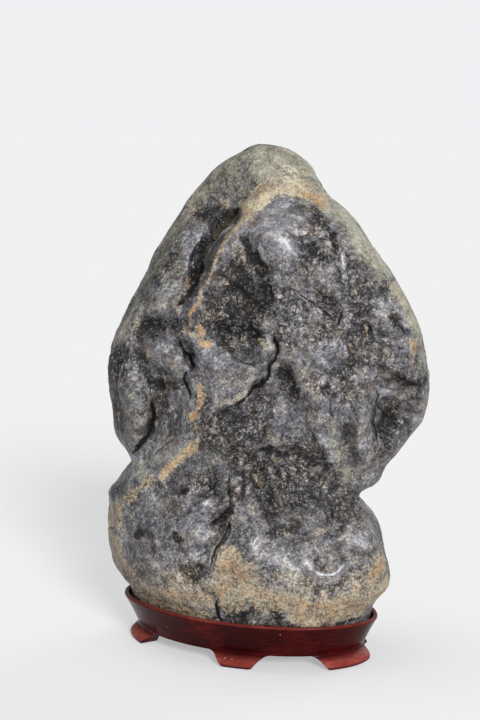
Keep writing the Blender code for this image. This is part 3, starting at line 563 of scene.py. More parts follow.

# %% [markdown]
# ## Where each colour lies
#
# The rock is a dark, speckled stone with pale grains, under a thin tan rind that is left in bands and spots.
# The colours follow the form, so they are stored on the points of the mesh, again as strokes: rind, dark and
# pale. The dark strokes also hold painted shade in the cleft, hollows, pits and creases, under ledges and down
# the left side, and a painted shadow where the stone meets the rim. The pale strokes also hold painted
# highlights on the knob and at the glints. The shader breaks their edges into grains later. A painted picture
# would do the same, but it needs an unwrapped surface, and it would be as coarse as its pixels.

# %% Tan rind on the front, as (name, strength, half-width, points)
CRUST = [
    ("crown_soft", 0.8, 4.6, [(25.5, 223.4), (16, 229), (6.5, 229.9), (-2.1, 225.3), (-8.8, 219.6)]),
    ("crown_band", 0.95, 2.3, [(26.2, 220.7), (22.5, 223.9), (17.8, 226.3), (11.7, 228.1), (6, 228.1),
     (1.2, 226.3), (-2.2, 223.1), (-5.5, 219.9), (-9.3, 217.5), (-12.6, 214.2), (-15.4, 211.1)]),
    ("crown_cream", 0.6, 4.1, [(10.4, 236.4), (12.7, 232.6), (9.4, 229.9), (3.6, 229.8)]),
    ("lip_thread", 0.8, 1.1, [(-16.8, 209.3), (-19.6, 204.6), (-22.9, 199.2), (-25.2, 193),
     (-27.6, 187.3), (-30, 182.4), (-32.4, 176.8), (-34.3, 172), (-36.2, 166.6)]),
    ("thread_end", 0.6, 1.4, [(-38.2, 164.1), (-39.1, 160.7), (-33.3, 161.2)]),
    ("spot_1", 0.9, 1.8, [(-31.4, 163.7), (-30, 160.9)]),
    ("spot_2", 0.95, 2.1, [(-30, 156.7), (-27.2, 156.2)]),
    ("spot_3", 1, 1.8, [(-32, 134.9), (-31.1, 131), (-31.6, 127.2)]),
    ("spot_4", 0.9, 1.8, [(-34, 123.9), (-35, 120.4)]),
    ("spot_5", 0.6, 1.4, [(-34, 116.5), (-32.1, 116.2)]),
    ("neck_band", 0.85, 2.5, [(-34.1, 108.6), (-36.5, 104.4), (-40.4, 101.2), (-44.4, 97.6),
     (-47.9, 93.5), (-51, 90.1)]),
    ("neck_band_2", 0.6, 2.3, [(-56.5, 88), (-60, 83.6), (-64.5, 79.3), (-68.1, 76.5)]),
    ("hip_patch", 0.62, 3.2, [(-71.8, 72.6), (-75.3, 67.1), (-72.6, 62.4)]),
    ("hip_edge", 0.8, 3.2, [(-75, 53.5), (-73.6, 47.5), (-70.4, 41.3), (-65.5, 37.4)]),
    ("foot_1", 0.7, 5.1, [(-65.2, 29.1), (-51.5, 32.8), (-39.1, 33.3), (-29.4, 33.1)]),
    ("foot_1b", 0.6, 4.6, [(-43.9, 40.4), (-36.6, 40), (-28.8, 39.9)]),
    ("foot_1low", 0.78, 3.7, [(-63.8, 25.6), (-56.2, 24.8), (-45.9, 24.4), (-35.9, 24.7), (-29, 24.4)]),
    ("foot_2", 0.78, 6.9, [(-18.3, 54.5), (-20.2, 47.1), (-19.3, 39.8), (-16.4, 33.3)]),
    ("foot_2b", 0.8, 6, [(-10.2, 49.4), (-7.9, 40.8), (-2.2, 36.1), (4, 35.1)]),
    ("foot_3", 0.85, 5.1, [(8.7, 36.4), (15.8, 33.5), (24.4, 31.2), (32, 31.9)]),
    ("foot_4", 0.78, 4.6, [(37.2, 35), (42.9, 37.1), (48.4, 40.5), (52.9, 45.8), (55.8, 51.3)]),
    ("foot_5", 0.85, 4.1, [(14, 27.6), (25.5, 26.2), (35.1, 26.9), (44.9, 29.2), (51.8, 33)]),
    ("hip_outer", 0.75, 2.8, [(-79.1, 69.1), (-79.1, 55), (-76.9, 44.7), (-71.9, 36.4)]),
    ("base_outer", 0.8, 4.1, [(58, 38.8), (53.3, 33.6)]),
    ("foot_soft", 0.42, 12, [(-56.5, 36.5), (-36.6, 37), (-15, 45.1), (1.6, 41.2), (25.2, 36.5),
     (46.8, 42.4)]),
    ("waist_tan", 0.5, 2.3, [(-14, 60.9), (-16.4, 56.5)]),
    ("rim_tan", 0.9, 2.1, [(69.5, 157.3), (70.7, 151.8)]),
    ("rim_tan_2", 0.7, 1.4, [(58.4, 185.3), (62.4, 180.8), (65.9, 174.9)]),
    ("base_tan", 0.65, 1.8, [(23.5, 66.4), (26.9, 67.9)]),
    ("notch_tan", 0.75, 0.8, [(47.8, 164.7), (47.9, 160), (45.4, 156.9)]),
    ("notch_tan_2", 0.6, 1.2, [(37.8, 156.7), (40.2, 155.7)]),
    ("notch_tan_3", 0.5, 1.8, [(52.2, 155.2), (55.1, 154.1)]),
    ("mid_tan", 0.25, 4.1, [(21.4, 167.1), (24.7, 163.3)]),
    ("mid_tan_2", 0.2, 3.7, [(30.9, 185.6)]),
    ("flake_tan", 0.55, 1.8, [(-2.3, 158.3), (0, 156.2)]),
    ("spur_tan", 0.35, 3.7, [(-13.5, 202.5), (-12.1, 196.6)]),
    ("flake_rim", 0.5, 1.4, [(-12.6, 132.1), (-18.3, 129), (-24.9, 126.4)]),
    ("nodule_tan", 0.75, 1.3, [(2.2, 101), (4.2, 99.5)]),
    ("nodule_tan_2", 0.6, 1.2, [(-4.9, 93.3), (-3.5, 89.4), (-2.1, 84.7)]),
    ("slab_tan", 0.75, 1.1, [(-37.3, 184.5), (-36.1, 180.4)]),
    ("slab_tan_2", 0.6, 1.4, [(-37.2, 219.2), (-35.6, 216)]),
    ("slab_tan_3", 0.55, 1.8, [(-21.8, 222.6), (-19.9, 220.2)]),
    ("lobe_tan", 0.45, 1.4, [(-55.8, 170.3), (-50.8, 172.7), (-45, 174.8), (-39.3, 176.6)]),
    ("edge_tan", 0.45, 3.2, [(-64.4, 166.1), (-67.1, 161)]),
    ("column_warm", 0.18, 5.5, [(21.1, 139.9), (23.8, 131.7), (27.8, 121.7), (31.9, 111.2), (35.1, 99.5),
     (36.8, 88)]),
    ("belt_warm", 0.25, 9.2, [(-5.5, 62.2), (6.3, 59.2), (15.7, 55.9)]),
    ("belt_warm_2", 0.25, 3.7, [(-5.5, 76.3), (1.6, 64.4)]),
    ("dot_1", 0.55, 1.2, [(15.6, 133.1)]),
    ("dot_2", 0.55, 1.2, [(8.2, 124.4)]),
    ("dot_3", 0.55, 1.2, [(1.6, 112.3)]),
    ("right_warm", 0.2, 4.1, [(47.4, 149.7), (53.1, 156.6), (63.1, 146.4)]),
    ("base_right_warm", 0.25, 4.1, [(40.5, 54.7), (47.5, 57.2)]),
    ("hip_warm", 0.22, 5.5, [(-64.1, 66.9), (-56.2, 56), (-51.2, 48.8)]),
]

# %% Dark stone on the front, with painted shade in the cleft, hollows, pits and creases and along the rim
DARK = [
    ("flake_shade", 0.8, 1.4, [(-21.1, 156.3), (-16.4, 154.8), (-12.6, 153.3)]),
    ("left_shade", 0.55, 3.7, [(-39.9, 209.8), (-46.7, 199.4), (-53.5, 187.8), (-60.4, 176.1)]),
    ("left_rim", 0.6, 3.2, [(-75.6, 148), (-78, 136), (-74, 111.6)]),
    ("cleft_shade", 0.8, 3.2, [(-19.4, 212.2), (-25.6, 204.7), (-30.5, 195.9), (-33.5, 188.1)]),
    # hollow to hollow_4: dark patina and painted shade in the hollow below the knob
    ("hollow", 0.82, 7.4, [(-13.5, 189), (-14, 179.6), (-12.6, 170.5), (-7.9, 163.3)]),
    ("hollow_2", 0.66, 6.9, [(-24.3, 172.9), (-19.7, 165.4), (-10.3, 168.1)]),
    ("hollow_3", 0.7, 4.1, [(-2.4, 192), (-0.5, 182.7), (-2.3, 173.2)]),
    ("hollow_4", 0.6, 3.7, [(-29.1, 168), (-25.7, 177.4)]),
    ("slab_dark", 0.7, 3.7, [(-33.6, 217), (-27.2, 215.3), (-19.9, 215.9), (-25.2, 211.6)]),
    # cleft: painted shade deep in the cleft
    ("cleft", 0.8, 2.8, [(-16.9, 214.7), (-23.6, 206.1), (-28.8, 196), (-32.2, 185.4), (-37.4, 177.6)]),
    ("slab_shade", 0.55, 3.7, [(-43.8, 205.1), (-47.1, 197.5), (-50.4, 190)]),
    ("slab_speckle", 0.2, 6, [(-13.6, 241.9), (-16.5, 233.3), (-24.8, 227.3), (-9.7, 229.7)]),
    # lobe_top: painted shade under the left lobe's top ridge
    ("lobe_top", 0.7, 3.7, [(-39.6, 164.9), (-48.6, 163.7), (-56.9, 164.7), (-60.9, 158.4)]),
    ("lobe_side", 0.65, 3.2, [(-68.3, 150.8), (-73, 142.1), (-71.9, 135.9)]),
    ("lobe_side_2", 0.5, 2.8, [(-74.3, 126.8), (-73.3, 118.4), (-70.6, 110.2)]),
    # lobe_groove: painted shade in the groove across the left lobe
    ("lobe_groove", 0.7, 2.3, [(-60.6, 149.4), (-57.2, 142.5), (-53.6, 134.6), (-45.1, 135.7),
     (-38.3, 136.6)]),
    # mid_dark, below_flake and below_flake_2: painted shade in the creases beside and below the flake
    ("mid_dark", 0.75, 3.7, [(8.2, 142.2), (10.1, 136.7), (12.4, 132.4)]),
    ("below_flake", 0.42, 5.5, [(-2.2, 129), (-10.2, 122.6), (-21.1, 120.1), (-29.2, 124.1)]),
    ("below_flake_2", 0.45, 6.4, [(-24.5, 108), (-12.6, 110.9), (-2.2, 118.3)]),
    # column_dark: dark stone and painted shade where the waist recedes
    ("column_dark", 0.7, 3.7, [(-6.9, 101.3), (-4.9, 94.2), (-0.1, 86.2), (0.8, 78.9), (2.7, 74.6)]),
    ("column_edge", 0.7, 1.4, [(21.4, 113.3), (24.8, 108.5), (26.9, 103), (28.5, 97.5)]),
    # under_nodule: painted shade under a nodule, in its cut pit
    ("under_nodule", 0.8, 2.3, [(-6.4, 102.8), (-4.9, 97.1)]),
    ("column_purple", 0.4, 5.1, [(10.2, 110.8), (16.9, 106.6), (23.7, 101.4), (16.2, 97)]),
    ("column_speckle", 0.45, 6, [(9, 90), (16.1, 81.1), (24.8, 80.8), (30.5, 93)]),
    # right_hollow and right_hollow_2: painted shade in the right hollow
    ("right_hollow", 0.75, 3.7, [(60.4, 125.7), (58.8, 117.9), (56.8, 110.4)]),
    ("right_hollow_2", 0.75, 2.3, [(67.5, 136.5), (72.5, 134.3), (71.7, 129.8)]),
    ("right_edge", 0.5, 2.3, [(75, 143.6), (73.9, 137.1)]),
    # right_under: painted shade under the right lobe
    ("right_under", 0.6, 3.7, [(65.6, 115.9), (60.7, 108.3), (54.8, 103)]),
    ("cross_dark", 0.75, 2.1, [(39.2, 156.7), (41.2, 151.9), (37.9, 147.2), (34.3, 142.4)]),
    # ledge_dark: painted shade under the ledge
    ("ledge_dark", 0.72, 1.7, [(41.2, 150.9), (46.5, 149.3), (52.3, 147.5), (57.2, 145.3), (61.9, 140.4),
     (67.5, 136.5), (73.5, 134.8)]),
    ("rim_dark", 0.75, 2.3, [(58.8, 170), (61.8, 166.1), (64.8, 162.6)]),
    ("shoulder_dark", 0.5, 4.1, [(47, 185), (53.9, 181.4), (49, 177)]),
    ("shoulder_dark_2", 0.5, 2.8, [(41, 173.5), (42.5, 166.4), (44.4, 161.7)]),
    ("foot_dark", 0.8, 2.8, [(-21.7, 29.5), (-16.9, 27.3), (-11.2, 25.2)]),
    ("foot_dark_2", 0.95, 2.3, [(-5.5, 29.9), (0.2, 32.3), (3.6, 29.8), (6, 25.8)]),
    ("rim_shade", 0.85, 1, [(-63.3, 24.1), (-55.7, 23.8), (-47.9, 23.8), (-36.9, 23.9), (-21.7, 23.4),
     (-6.9, 22.5), (7.9, 22.4), (26.5, 22.5), (37.2, 22.8), (45.8, 22.8), (51.6, 21.7)]),
    ("foot_dark_3", 0.45, 1.2, [(37.6, 26.6), (44.1, 27.4), (48.9, 29.9)]),
    ("foot_left", 0.3, 3.2, [(-65.4, 27.3), (-51.7, 29.8), (-39.2, 29.5)]),
    ("summit_left", 0.5, 1.8, [(-25.8, 223.9), (-21.3, 228.8), (-17, 233.8)]),
    # foot_dark_4: a painted shadow where the stone meets the rim
    ("foot_dark_4", 0.6, 1.2, [(-60, 24.2), (-47.9, 23.2), (-36.9, 22.3), (-29.5, 21.6)]),
    ("belt_dark", 0.6, 1.8, [(15.7, 44.8), (24.2, 41.4), (31.4, 42.2), (38, 44.3)]),
    ("belt_dark_2", 0.5, 1.8, [(45.3, 46), (51.4, 47.7)]),
    # hip_spot, hip_spot_2 and base_shade: painted shade in cut pits
    ("hip_spot", 0.95, 2.1, [(-62.9, 59.7), (-60.8, 61.7)]),
    ("hip_spot_2", 0.9, 1.8, [(-43.8, 64.4), (-42.3, 61.9)]),
    ("base_shade", 0.75, 3.2, [(-39.5, 46.9), (-36.6, 44.4), (-31.7, 48.4)]),
    ("base_shade_2", 0.5, 4.1, [(-67.3, 35.7), (-61.1, 42.3)]),
    ("middle_shade", 0.5, 5.1, [(-29, 85), (-25.1, 91)]),
    # slit_dark and the nodule_dark rows: painted shade in cut slits and pits
    ("slit_dark", 0.95, 1.2, [(-41.5, 82.6), (-38.1, 84.1)]),
    ("nodule_dark", 0.5, 1.4, [(-16.9, 91.3), (-16.9, 83.5)]),
    ("nodule_dark_2", 0.5, 1.4, [(-11.6, 91.3), (-11.6, 83.2)]),
    ("nodule_dark_3", 0.8, 1.6, [(-2.1, 104.9), (1.7, 105.8), (5.5, 102.8)]),
    # knob_dark: painted shade in the groove left of the knob
    ("knob_dark", 0.9, 2.1, [(-10.3, 206.4), (-7.9, 201), (-5.1, 195.6), (-2.4, 189.2)]),
    # knob_pit to knob_pit_4 and lens_dark: painted shade in the cut pits
    ("knob_pit", 0.95, 2.8, [(20.7, 202.9), (23, 200.3)]),
    ("knob_pit_2", 0.95, 1.5, [(31.1, 207.2), (32.3, 201.9)]),
    ("knob_pit_3", 0.85, 1.1, [(15.7, 207.8), (15.6, 203.5)]),
    ("knob_pit_4", 0.7, 0.9, [(16, 198.6), (19.2, 198.1)]),
    ("lens_dark", 0.7, 2.3, [(22.8, 218.1), (24, 215)]),
    ("lens_edge", 0.5, 0.9, [(26, 217.2), (27.2, 212.8), (29.9, 209.8)]),
    # column_spot, column_spot_2 and cavity_dark: painted shade in the cut pits
    ("column_spot", 0.9, 1.8, [(27.1, 137.3), (27.1, 134.9)]),
    ("column_spot_2", 0.9, 1.5, [(30.5, 134), (32, 132.3)]),
    ("cavity_dark", 0.95, 1.6, [(-9.3, 162.2), (-4.6, 161.8)]),
    ("waist_shade", 0.7, 1.8, [(-16.9, 78.9), (-17.9, 74.6), (-21.2, 68.2)]),
    ("belt_spots", 0.6, 1.8, [(7.8, 68.2), (15, 68.9), (0.7, 66.5)]),
    ("neck_shade", 0.5, 3.2, [(-76.7, 76.8), (-72.2, 80.3)]),
    ("inner_speckle", 0.35, 5.5, [(-46.4, 115.4), (-47.3, 125.3)]),
]

# %% Pale stone on the front, with painted highlights on the knob and at the glints
PALE = [
    # slab_glint: painted highlight on the slab beside the cleft
    ("slab_glint", 0.85, 3.7, [(-36.9, 207.2), (-36.3, 201.2), (-33.4, 203.6), (-37.7, 195.2),
     (-34.4, 192.9)]),
    ("slab_pale", 0.35, 3.7, [(-48.6, 179.4), (-42.3, 180.6), (-53.4, 174)]),
    # knob_glint and knob_pale: painted highlight on the knob
    ("knob_glint", 0.9, 2.8, [(6.4, 206.2), (7.8, 203.4)]),
    ("knob_pale", 0.5, 6.4, [(0.4, 210.3), (6.8, 208.4), (8.2, 201.6), (1.3, 201.5)]),
    ("knob_top", 0.4, 3.7, [(3.9, 218.2), (10.9, 217.3)]),
    ("flake_pale", 0.4, 6, [(-26.7, 151.6), (-21.1, 148.5), (-19.7, 140.1), (-12.6, 141.1),
     (-24.4, 137.4)]),
    ("flake_pale_2", 0.6, 3.7, [(-9.3, 137.8), (-12.6, 134.5), (-25.8, 132.6)]),
    ("middle_pale", 0.9, 4.6, [(10.9, 153.4), (19, 154.3), (28.4, 151.3), (33.1, 155.1)]),
    ("middle_pale_2", 0.4, 5.5, [(15.3, 166.6), (20, 161.9)]),
    ("column_edge", 0.45, 2.3, [(28.9, 115.6), (31.5, 107.4), (33.6, 99.8)]),
    ("column_pale", 0.55, 3.7, [(19.2, 144), (20.6, 137.1), (25.7, 141.9)]),
    ("column_pale_2", 0.35, 4.1, [(25.8, 129.2), (29.8, 116.4), (33.1, 103.4)]),
    ("leaf_pale", 0.15, 5.1, [(-64.7, 127.5), (-62.3, 121.7)]),
    ("cheek_pale", 0.45, 5.1, [(-49.7, 155.2), (-46.7, 148.5), (-43, 142.6)]),
    ("panel_pale", 0.2, 5.5, [(-48.8, 125), (-47.4, 117.6)]),
    ("base_pale", 0.4, 6, [(-36.5, 68.3), (-31.7, 62.3), (-29.3, 55.3)]),
    ("base_pale_2", 0.95, 5.5, [(-2.2, 59.4), (8.6, 55.8), (15.7, 50.3)]),
    ("base_pale_3", 0.4, 4.6, [(24.2, 45), (32.2, 46.4)]),
    ("hip_pale", 0.35, 4.1, [(-54.7, 52.5), (-48.7, 50.2), (-56.4, 42.1)]),
    ("right_glint", 0.9, 2.3, [(55.4, 134), (58.5, 131.7)]),
    ("right_pale", 0.35, 4.1, [(43.9, 123.7), (46.2, 113.4), (48.5, 105.1)]),
    ("right_rim", 0.4, 4.1, [(61.9, 156.1), (64.1, 148.7), (67.7, 162.9)]),
    ("right_pale_2", 0.4, 3.2, [(50.5, 176.5), (55.3, 173), (58.7, 177.5)]),
    ("rib_glint", 0.85, 1, [(34.6, 200.1), (35.4, 194.3), (35.9, 188.4), (36.5, 183.6)]),
    ("rib_glint_2", 0.7, 1, [(34.3, 180.3), (35.3, 176.9)]),
    ("shoulder_pale", 0.3, 4.1, [(23.4, 192.6), (28.9, 188.9), (31.4, 183.2)]),
    ("crown_cream", 0.7, 3.2, [(12.3, 234.5), (16, 229), (8.8, 228.1), (0.7, 224.9), (-5, 221.2)]),
    ("knob_right", 0.75, 4.1, [(15.4, 211.3), (21.8, 207.7), (25.4, 203.3)]),
    ("crown_pale", 0.8, 3.7, [(10, 239.7), (11.8, 235), (6.6, 241.1)]),
    ("cheek_glint", 0.9, 1.4, [(-50.8, 156.3), (-48.7, 154.8)]),
    ("waist_pale", 0.35, 3.2, [(-10.7, 97.8), (-9.7, 105.7)]),
    ("waist_pale_2", 0.4, 2.8, [(-24.1, 78.7), (-31.8, 78.5)]),
    ("nodule_pale", 0.7, 1.4, [(-14.5, 89.2), (-14, 86.5)]),
    ("nodule_pale_2", 0.6, 2.8, [(3.5, 115.4), (4.5, 112.9)]),
    ("lobe_pale", 0.4, 3.2, [(-50.7, 170.5), (-55.8, 168)]),
    ("base_right_pale", 0.35, 4.1, [(40.7, 61.1), (45.7, 62.5), (43.1, 68.8)]),
    ("top_speckle", 0.5, 1.8, [(-26.3, 228.7), (-23.8, 227.3)]),
    ("neck_pale", 1, 6, [(-62.7, 90.8), (-56.6, 94.8), (-49.4, 100.3), (-43.3, 105.5)]),
    ("neck_pale_2", 0.55, 4.1, [(-49, 88.4), (-56.5, 81.7)]),
    ("side_pale", 0.3, 2.8, [(34, 175.8), (38.6, 178.3)]),
]

# %% Rust spots on the front
RUST = [
    ("crown_rust", 0.55, 1.6, [(19.7, 225.3), (23, 223.9), (26.3, 221.2)]),
    ("crown_rust_2", 0.3, 1.4, [(0.7, 226.7), (-4.1, 222.1)]),
    ("lip_rust", 0.35, 1, [(-12.6, 213.8), (-15.9, 210.2), (-19.2, 205)]),
    ("lip_rust_2", 0.7, 1.2, [(-33.3, 175.8), (-35.7, 169.6)]),
    ("spot_1", 0.9, 1.6, [(-31, 163.2), (-30, 160.9)]),
    ("spot_2", 0.95, 1.8, [(-30, 156.7), (-27.2, 156.2)]),
    ("spot_3", 0.9, 1.5, [(-32, 134.9), (-31.1, 131), (-31.6, 127.2)]),
    ("spot_4", 0.8, 1.4, [(-34, 123.9), (-35, 120.4)]),
    ("neck_rust", 0.9, 2.3, [(-36.5, 106.5), (-41.4, 101.7), (-46.4, 97.4), (-49.9, 92.7)]),
    ("neck_rust_2", 0.75, 1.6, [(-56.5, 88), (-60, 84.6)]),
    ("hip_rust", 0.5, 1.8, [(-73, 71.2), (-74.2, 66.6)]),
    ("belt_rust_6", 0.5, 2.3, [(-58.9, 31.9), (-56.2, 26)]),
    ("belt_rust_7", 0.5, 2.3, [(15.8, 35), (21.5, 33.4)]),
    ("belt_rust_8", 0.6, 2.3, [(50.3, 45.1), (54.6, 49.4)]),
    ("belt_rust_9", 0.6, 2.8, [(-18.3, 52.2), (-12.6, 49.3)]),
    ("belt_rust_10", 0.5, 2.3, [(40.7, 32.4), (47.6, 34.3)]),
    ("belt_rust_11", 0.5, 2.3, [(-41.7, 27.5), (-33.9, 26.3)]),
    ("belt_rust_12", 0.45, 2.3, [(-1.2, 39.1), (8.2, 36.3)]),
    ("hip_rust_2", 0.45, 1.8, [(-76, 63.5), (-74.9, 56.3)]),
    ("belt_rust", 0.6, 2.3, [(-29.3, 37.9), (-26, 35.2)]),
    ("belt_rust_2", 0.65, 2.3, [(-14.5, 49.1), (-9.8, 46.4)]),
    ("belt_rust_3", 0.45, 1.8, [(-6.9, 39.9), (-2.2, 37.1)]),
    ("belt_rust_4", 0.45, 1.6, [(39.5, 40.9), (43.4, 41.5)]),
    ("belt_rust_5", 0.5, 1.4, [(-47.5, 35), (-43.5, 34.7)]),
    ("slab_rust", 0.6, 1.1, [(-37.3, 184.5), (-36.1, 180.4)]),
    ("rim_rust", 0.6, 1.4, [(69.5, 157.3), (70.7, 151.8)]),
    ("nodule_rust", 0.5, 0.9, [(2.2, 101.5), (4.2, 99.5)]),
]


# %% Calm directions and hollows
places, outward = measured(stone.data)
calm_outward = blurred(stone.data, outward, 14)
calm_outward /= np.linalg.norm(calm_outward, axis=1)[:, None]
level = blurred(stone.data, places, 22)
depth = ((level - places) * calm_outward).sum(axis=1)
print("hollows down to %.1f mm, crests up to %.1f mm" % (depth.max(), -depth.min()))

# %% Lay the colours down
waver = noises_at(places, 5.0, (1, 2), 2)
ragged = noises_at(places, 6.0, (9, 10), 3) * 1.6
spots, facing = seen_from("front", places, calm_outward)
facing = ease(2 * facing)
elsewhere = 1 - facing
LOOKS = {"rind": (CRUST, 1), "dark": (DARK, 1), "pale": (PALE, 1), "rust": (RUST, 0.5), "polish": (POLISH, 0.2),
         "broken": (ROUGH, 1), "skin": (SKIN, 1)}
colours = {name: painted(rows, spots, facing, ragged * part) for name, (rows, part) in LOOKS.items()}
around = noise_at(places, 30.0, 11, 4)
patchy = noise_at(places, 22.0, 12, 4)
crumbs = noise_at(places, 8.0, 23, 4)
low_band = ease((46 + 10 * patchy + 6 * crumbs - places[:, 2]) / 14)
in_patches = ease(around * 2.4 + 0.9 * crumbs - 0.7) * 0.7
# painted light: on the other three sides the paler skin is laid on more thickly towards the right, the side the
# lights come from
sunny = 0.4 + 0.6 * ease((places[:, 0] + 30) / 60)
upper = ease((places[:, 2] - 60) / 60)
random_looks = {
    "rind": np.maximum(in_patches, low_band * 0.85),
    "dark": ease(patchy * 2.4 + 0.9 * crumbs - 0.3) * 0.8,
    "pale": ease(-patchy * 3 - 0.4) * 0.6,
    "skin": ease(0.55 - around * 1.6) * upper * sunny,
}
for name, values in random_looks.items():
    colours[name] = np.maximum(colours[name], elsewhere * values)
colours["rust"] = np.maximum(colours["rust"], 0.6 * elsewhere * colours["rind"] * ease(patchy * 2.5 - 0.6))
# hollow and crest measure the form; the shader darkens the hollows with hollow as painted shade
colours["hollow"] = ease(depth / 1.8)
colours["crest"] = ease(-depth / 1.2)

# %% Which crack is nearest, and how wide it is there
widening = 1 + 0.5 * noise_at(places, 4.0, 13, 2)
crack_side = np.full(len(places), 9.0)
crack_width = np.zeros(len(places))
nearness = np.full(len(places), 1e9)
for half_width, _, found, _, far, which, taper in cracks_over(places, calm_outward, waver, 4, 0, 0.3):
    closer = far < nearness[found]
    nearest = found[closer]
    nearness[nearest] = far[closer]
    crack_side[nearest] = (far * which)[closer]
    crack_width[nearest] = (half_width * (0.2 + 0.8 * taper) * widening[found])[closer]
colours["crack_side"] = crack_side
colours["crack_width"] = crack_width
for name, values in colours.items():
    store(stone.data, name, values)
print({name: round(float(values.mean()), 3) for name, values in colours.items()})


# %% [markdown]
# ## The stone's finish
#
# Close up, the stone is a mix of dark and pale grains under a millimetre wide, with larger clouds of grey.
# One number carries that mix, the tone: noise at several sizes added together, with strands that run down
# both slopes, then shifted by the painted pale and dark, which carry painted highlights and painted shade as
# well as pale and dark stone, and lowered in the hollows and seams as painted shade. A colour ramp turns the
# tone into greys. Rind and skin have ramps of their own, and the mix between them is decided grain by grain,
# which gives ragged edges.


# %% Short names for building the node tree that is called tree at the time
def add(kind, **settings):
    made = tree.nodes.new(kind)
    for name, value in settings.items():
        setattr(made, name, value)
    return made


def plug(socket, value):
    """Links an output to the socket, or sets the socket's own value."""
    if isinstance(value, bpy.types.NodeSocket):
        tree.links.new(value, socket)
    else:
        socket.default_value = value


def calc(operation, *values, clamp=False):
    made = add("ShaderNodeMath", operation=operation, use_clamp=clamp)
    for socket, value in zip(made.inputs, values):
        plug(socket, value)
    return made.outputs[0]


def times(first, second):
    return calc("MULTIPLY", first, second)


def total(*terms):
    """The sum of (value, weight) pairs."""
    result = None
    for value, weight in terms:
        part = times(value, weight)
        result = part if result is None else calc("ADD", result, part)
    return result


def soft_step(value, low, high):
    """0 below low, 1 above high."""
    made = add("ShaderNodeMapRange", interpolation_type="SMOOTHSTEP")
    for name, number in (("Value", value), ("From Min", low), ("From Max", high)):
        plug(made.inputs[name], number)
    return made.outputs["Result"]


def ramp(value, stops):
    made = add("ShaderNodeValToRGB")
    plug(made.inputs["Fac"], value)
    while len(made.color_ramp.elements) < len(stops):
        made.color_ramp.elements.new(0.5)
    for element, (position, colour) in zip(made.color_ramp.elements, stops):
        element.position = position
        element.color = linear(colour)
    return made.outputs["Color"]


def mix(share, first, second, way="MIX"):
    made = add("ShaderNodeMix", data_type="RGBA", blend_type=way)
    plug(made.inputs["Factor"], share)
    plug(made.inputs[6], first)
    plug(made.inputs[7], second)
    return made.outputs[2]


def clouds(where, scale, detail=3.0, roughness=0.55):
    made = add("ShaderNodeTexNoise")
    plug(made.inputs["Vector"], where)
    for name, number in (("Scale", scale), ("Detail", detail), ("Roughness", roughness)):
        made.inputs[name].default_value = number
    return made.outputs["Fac"]


def grains(where, scale, feature="F1"):
    """A random value for each grain, and the distance from its middle or, with that feature, from its edge."""
    made = add("ShaderNodeTexVoronoi", feature=feature)
    plug(made.inputs["Vector"], where)
    plug(made.inputs["Scale"], scale)
    if feature != "F1":
        return made.outputs["Distance"]
    parted = add("ShaderNodeSeparateColor")
    plug(parted.inputs["Color"], made.outputs["Color"])
    return parted.outputs["Red"], made.outputs["Distance"]


def tint(share, colour, by):
    """The colour multiplied by a tint, as much as share says."""
    return mix(share, colour, mix(1.0, colour, (*by, 1), "MULTIPLY"))


def wandering(where, scale, reach):
    """Coordinates pushed about by noise, so that a pattern on them loses its straight edges."""
    noise_colour = add("ShaderNodeTexNoise")
    plug(noise_colour.inputs["Vector"], where)
    noise_colour.inputs["Scale"].default_value = scale
    centred = add("ShaderNodeVectorMath", operation="MULTIPLY_ADD")
    plug(centred.inputs[0], noise_colour.outputs["Color"])
    centred.inputs[1].default_value = (reach,) * 3
    plug(centred.inputs[2], where)
    return centred.outputs["Vector"]


def stored(name):
    return add("ShaderNodeAttribute", attribute_name=name).outputs["Fac"]


def relief(height, strength, distance):
    """Lets a height that is too fine for the mesh catch the light."""
    bump = add("ShaderNodeBump")
    plug(bump.inputs["Strength"], strength)
    plug(bump.inputs["Distance"], distance)
    plug(bump.inputs["Height"], height)
    plug(shader.inputs["Normal"], bump.outputs["Normal"])


# %% Small bright specks, for the stone's crystals and for dust on the lacquer
tree = specks = bpy.data.node_groups.new("scattered_specks", "ShaderNodeTree")
for name, kind, way in (("Vector", "NodeSocketVector", "INPUT"), ("Scale", "NodeSocketFloat", "INPUT"),
                        ("Share", "NodeSocketFloat", "INPUT"), ("Mask", "NodeSocketFloat", "OUTPUT")):
    specks.interface.new_socket(name, in_out=way, socket_type=kind)
speck_in = add("NodeGroupInput")
speck_out = add("NodeGroupOutput")
speck_cells = add("ShaderNodeTexVoronoi")
plug(speck_cells.inputs["Vector"], speck_in.outputs["Vector"])
plug(speck_cells.inputs["Scale"], speck_in.outputs["Scale"])
speck_parts = add("ShaderNodeSeparateColor")
plug(speck_parts.inputs["Color"], speck_cells.outputs["Color"])
chosen = calc("LESS_THAN", speck_parts.outputs["Green"], speck_in.outputs["Share"])
round_off = soft_step(calc("SUBTRACT", 0.42, speck_cells.outputs["Distance"]), 0.0, 0.12)
plug(speck_out.inputs["Mask"], times(chosen, round_off))


def add_specks(where, scale, share):
    made = add("ShaderNodeGroup", node_tree=specks)
    for name, value in (("Vector", where), ("Scale", scale), ("Share", share)):
        plug(made.inputs[name], value)
    return made.outputs["Mask"]


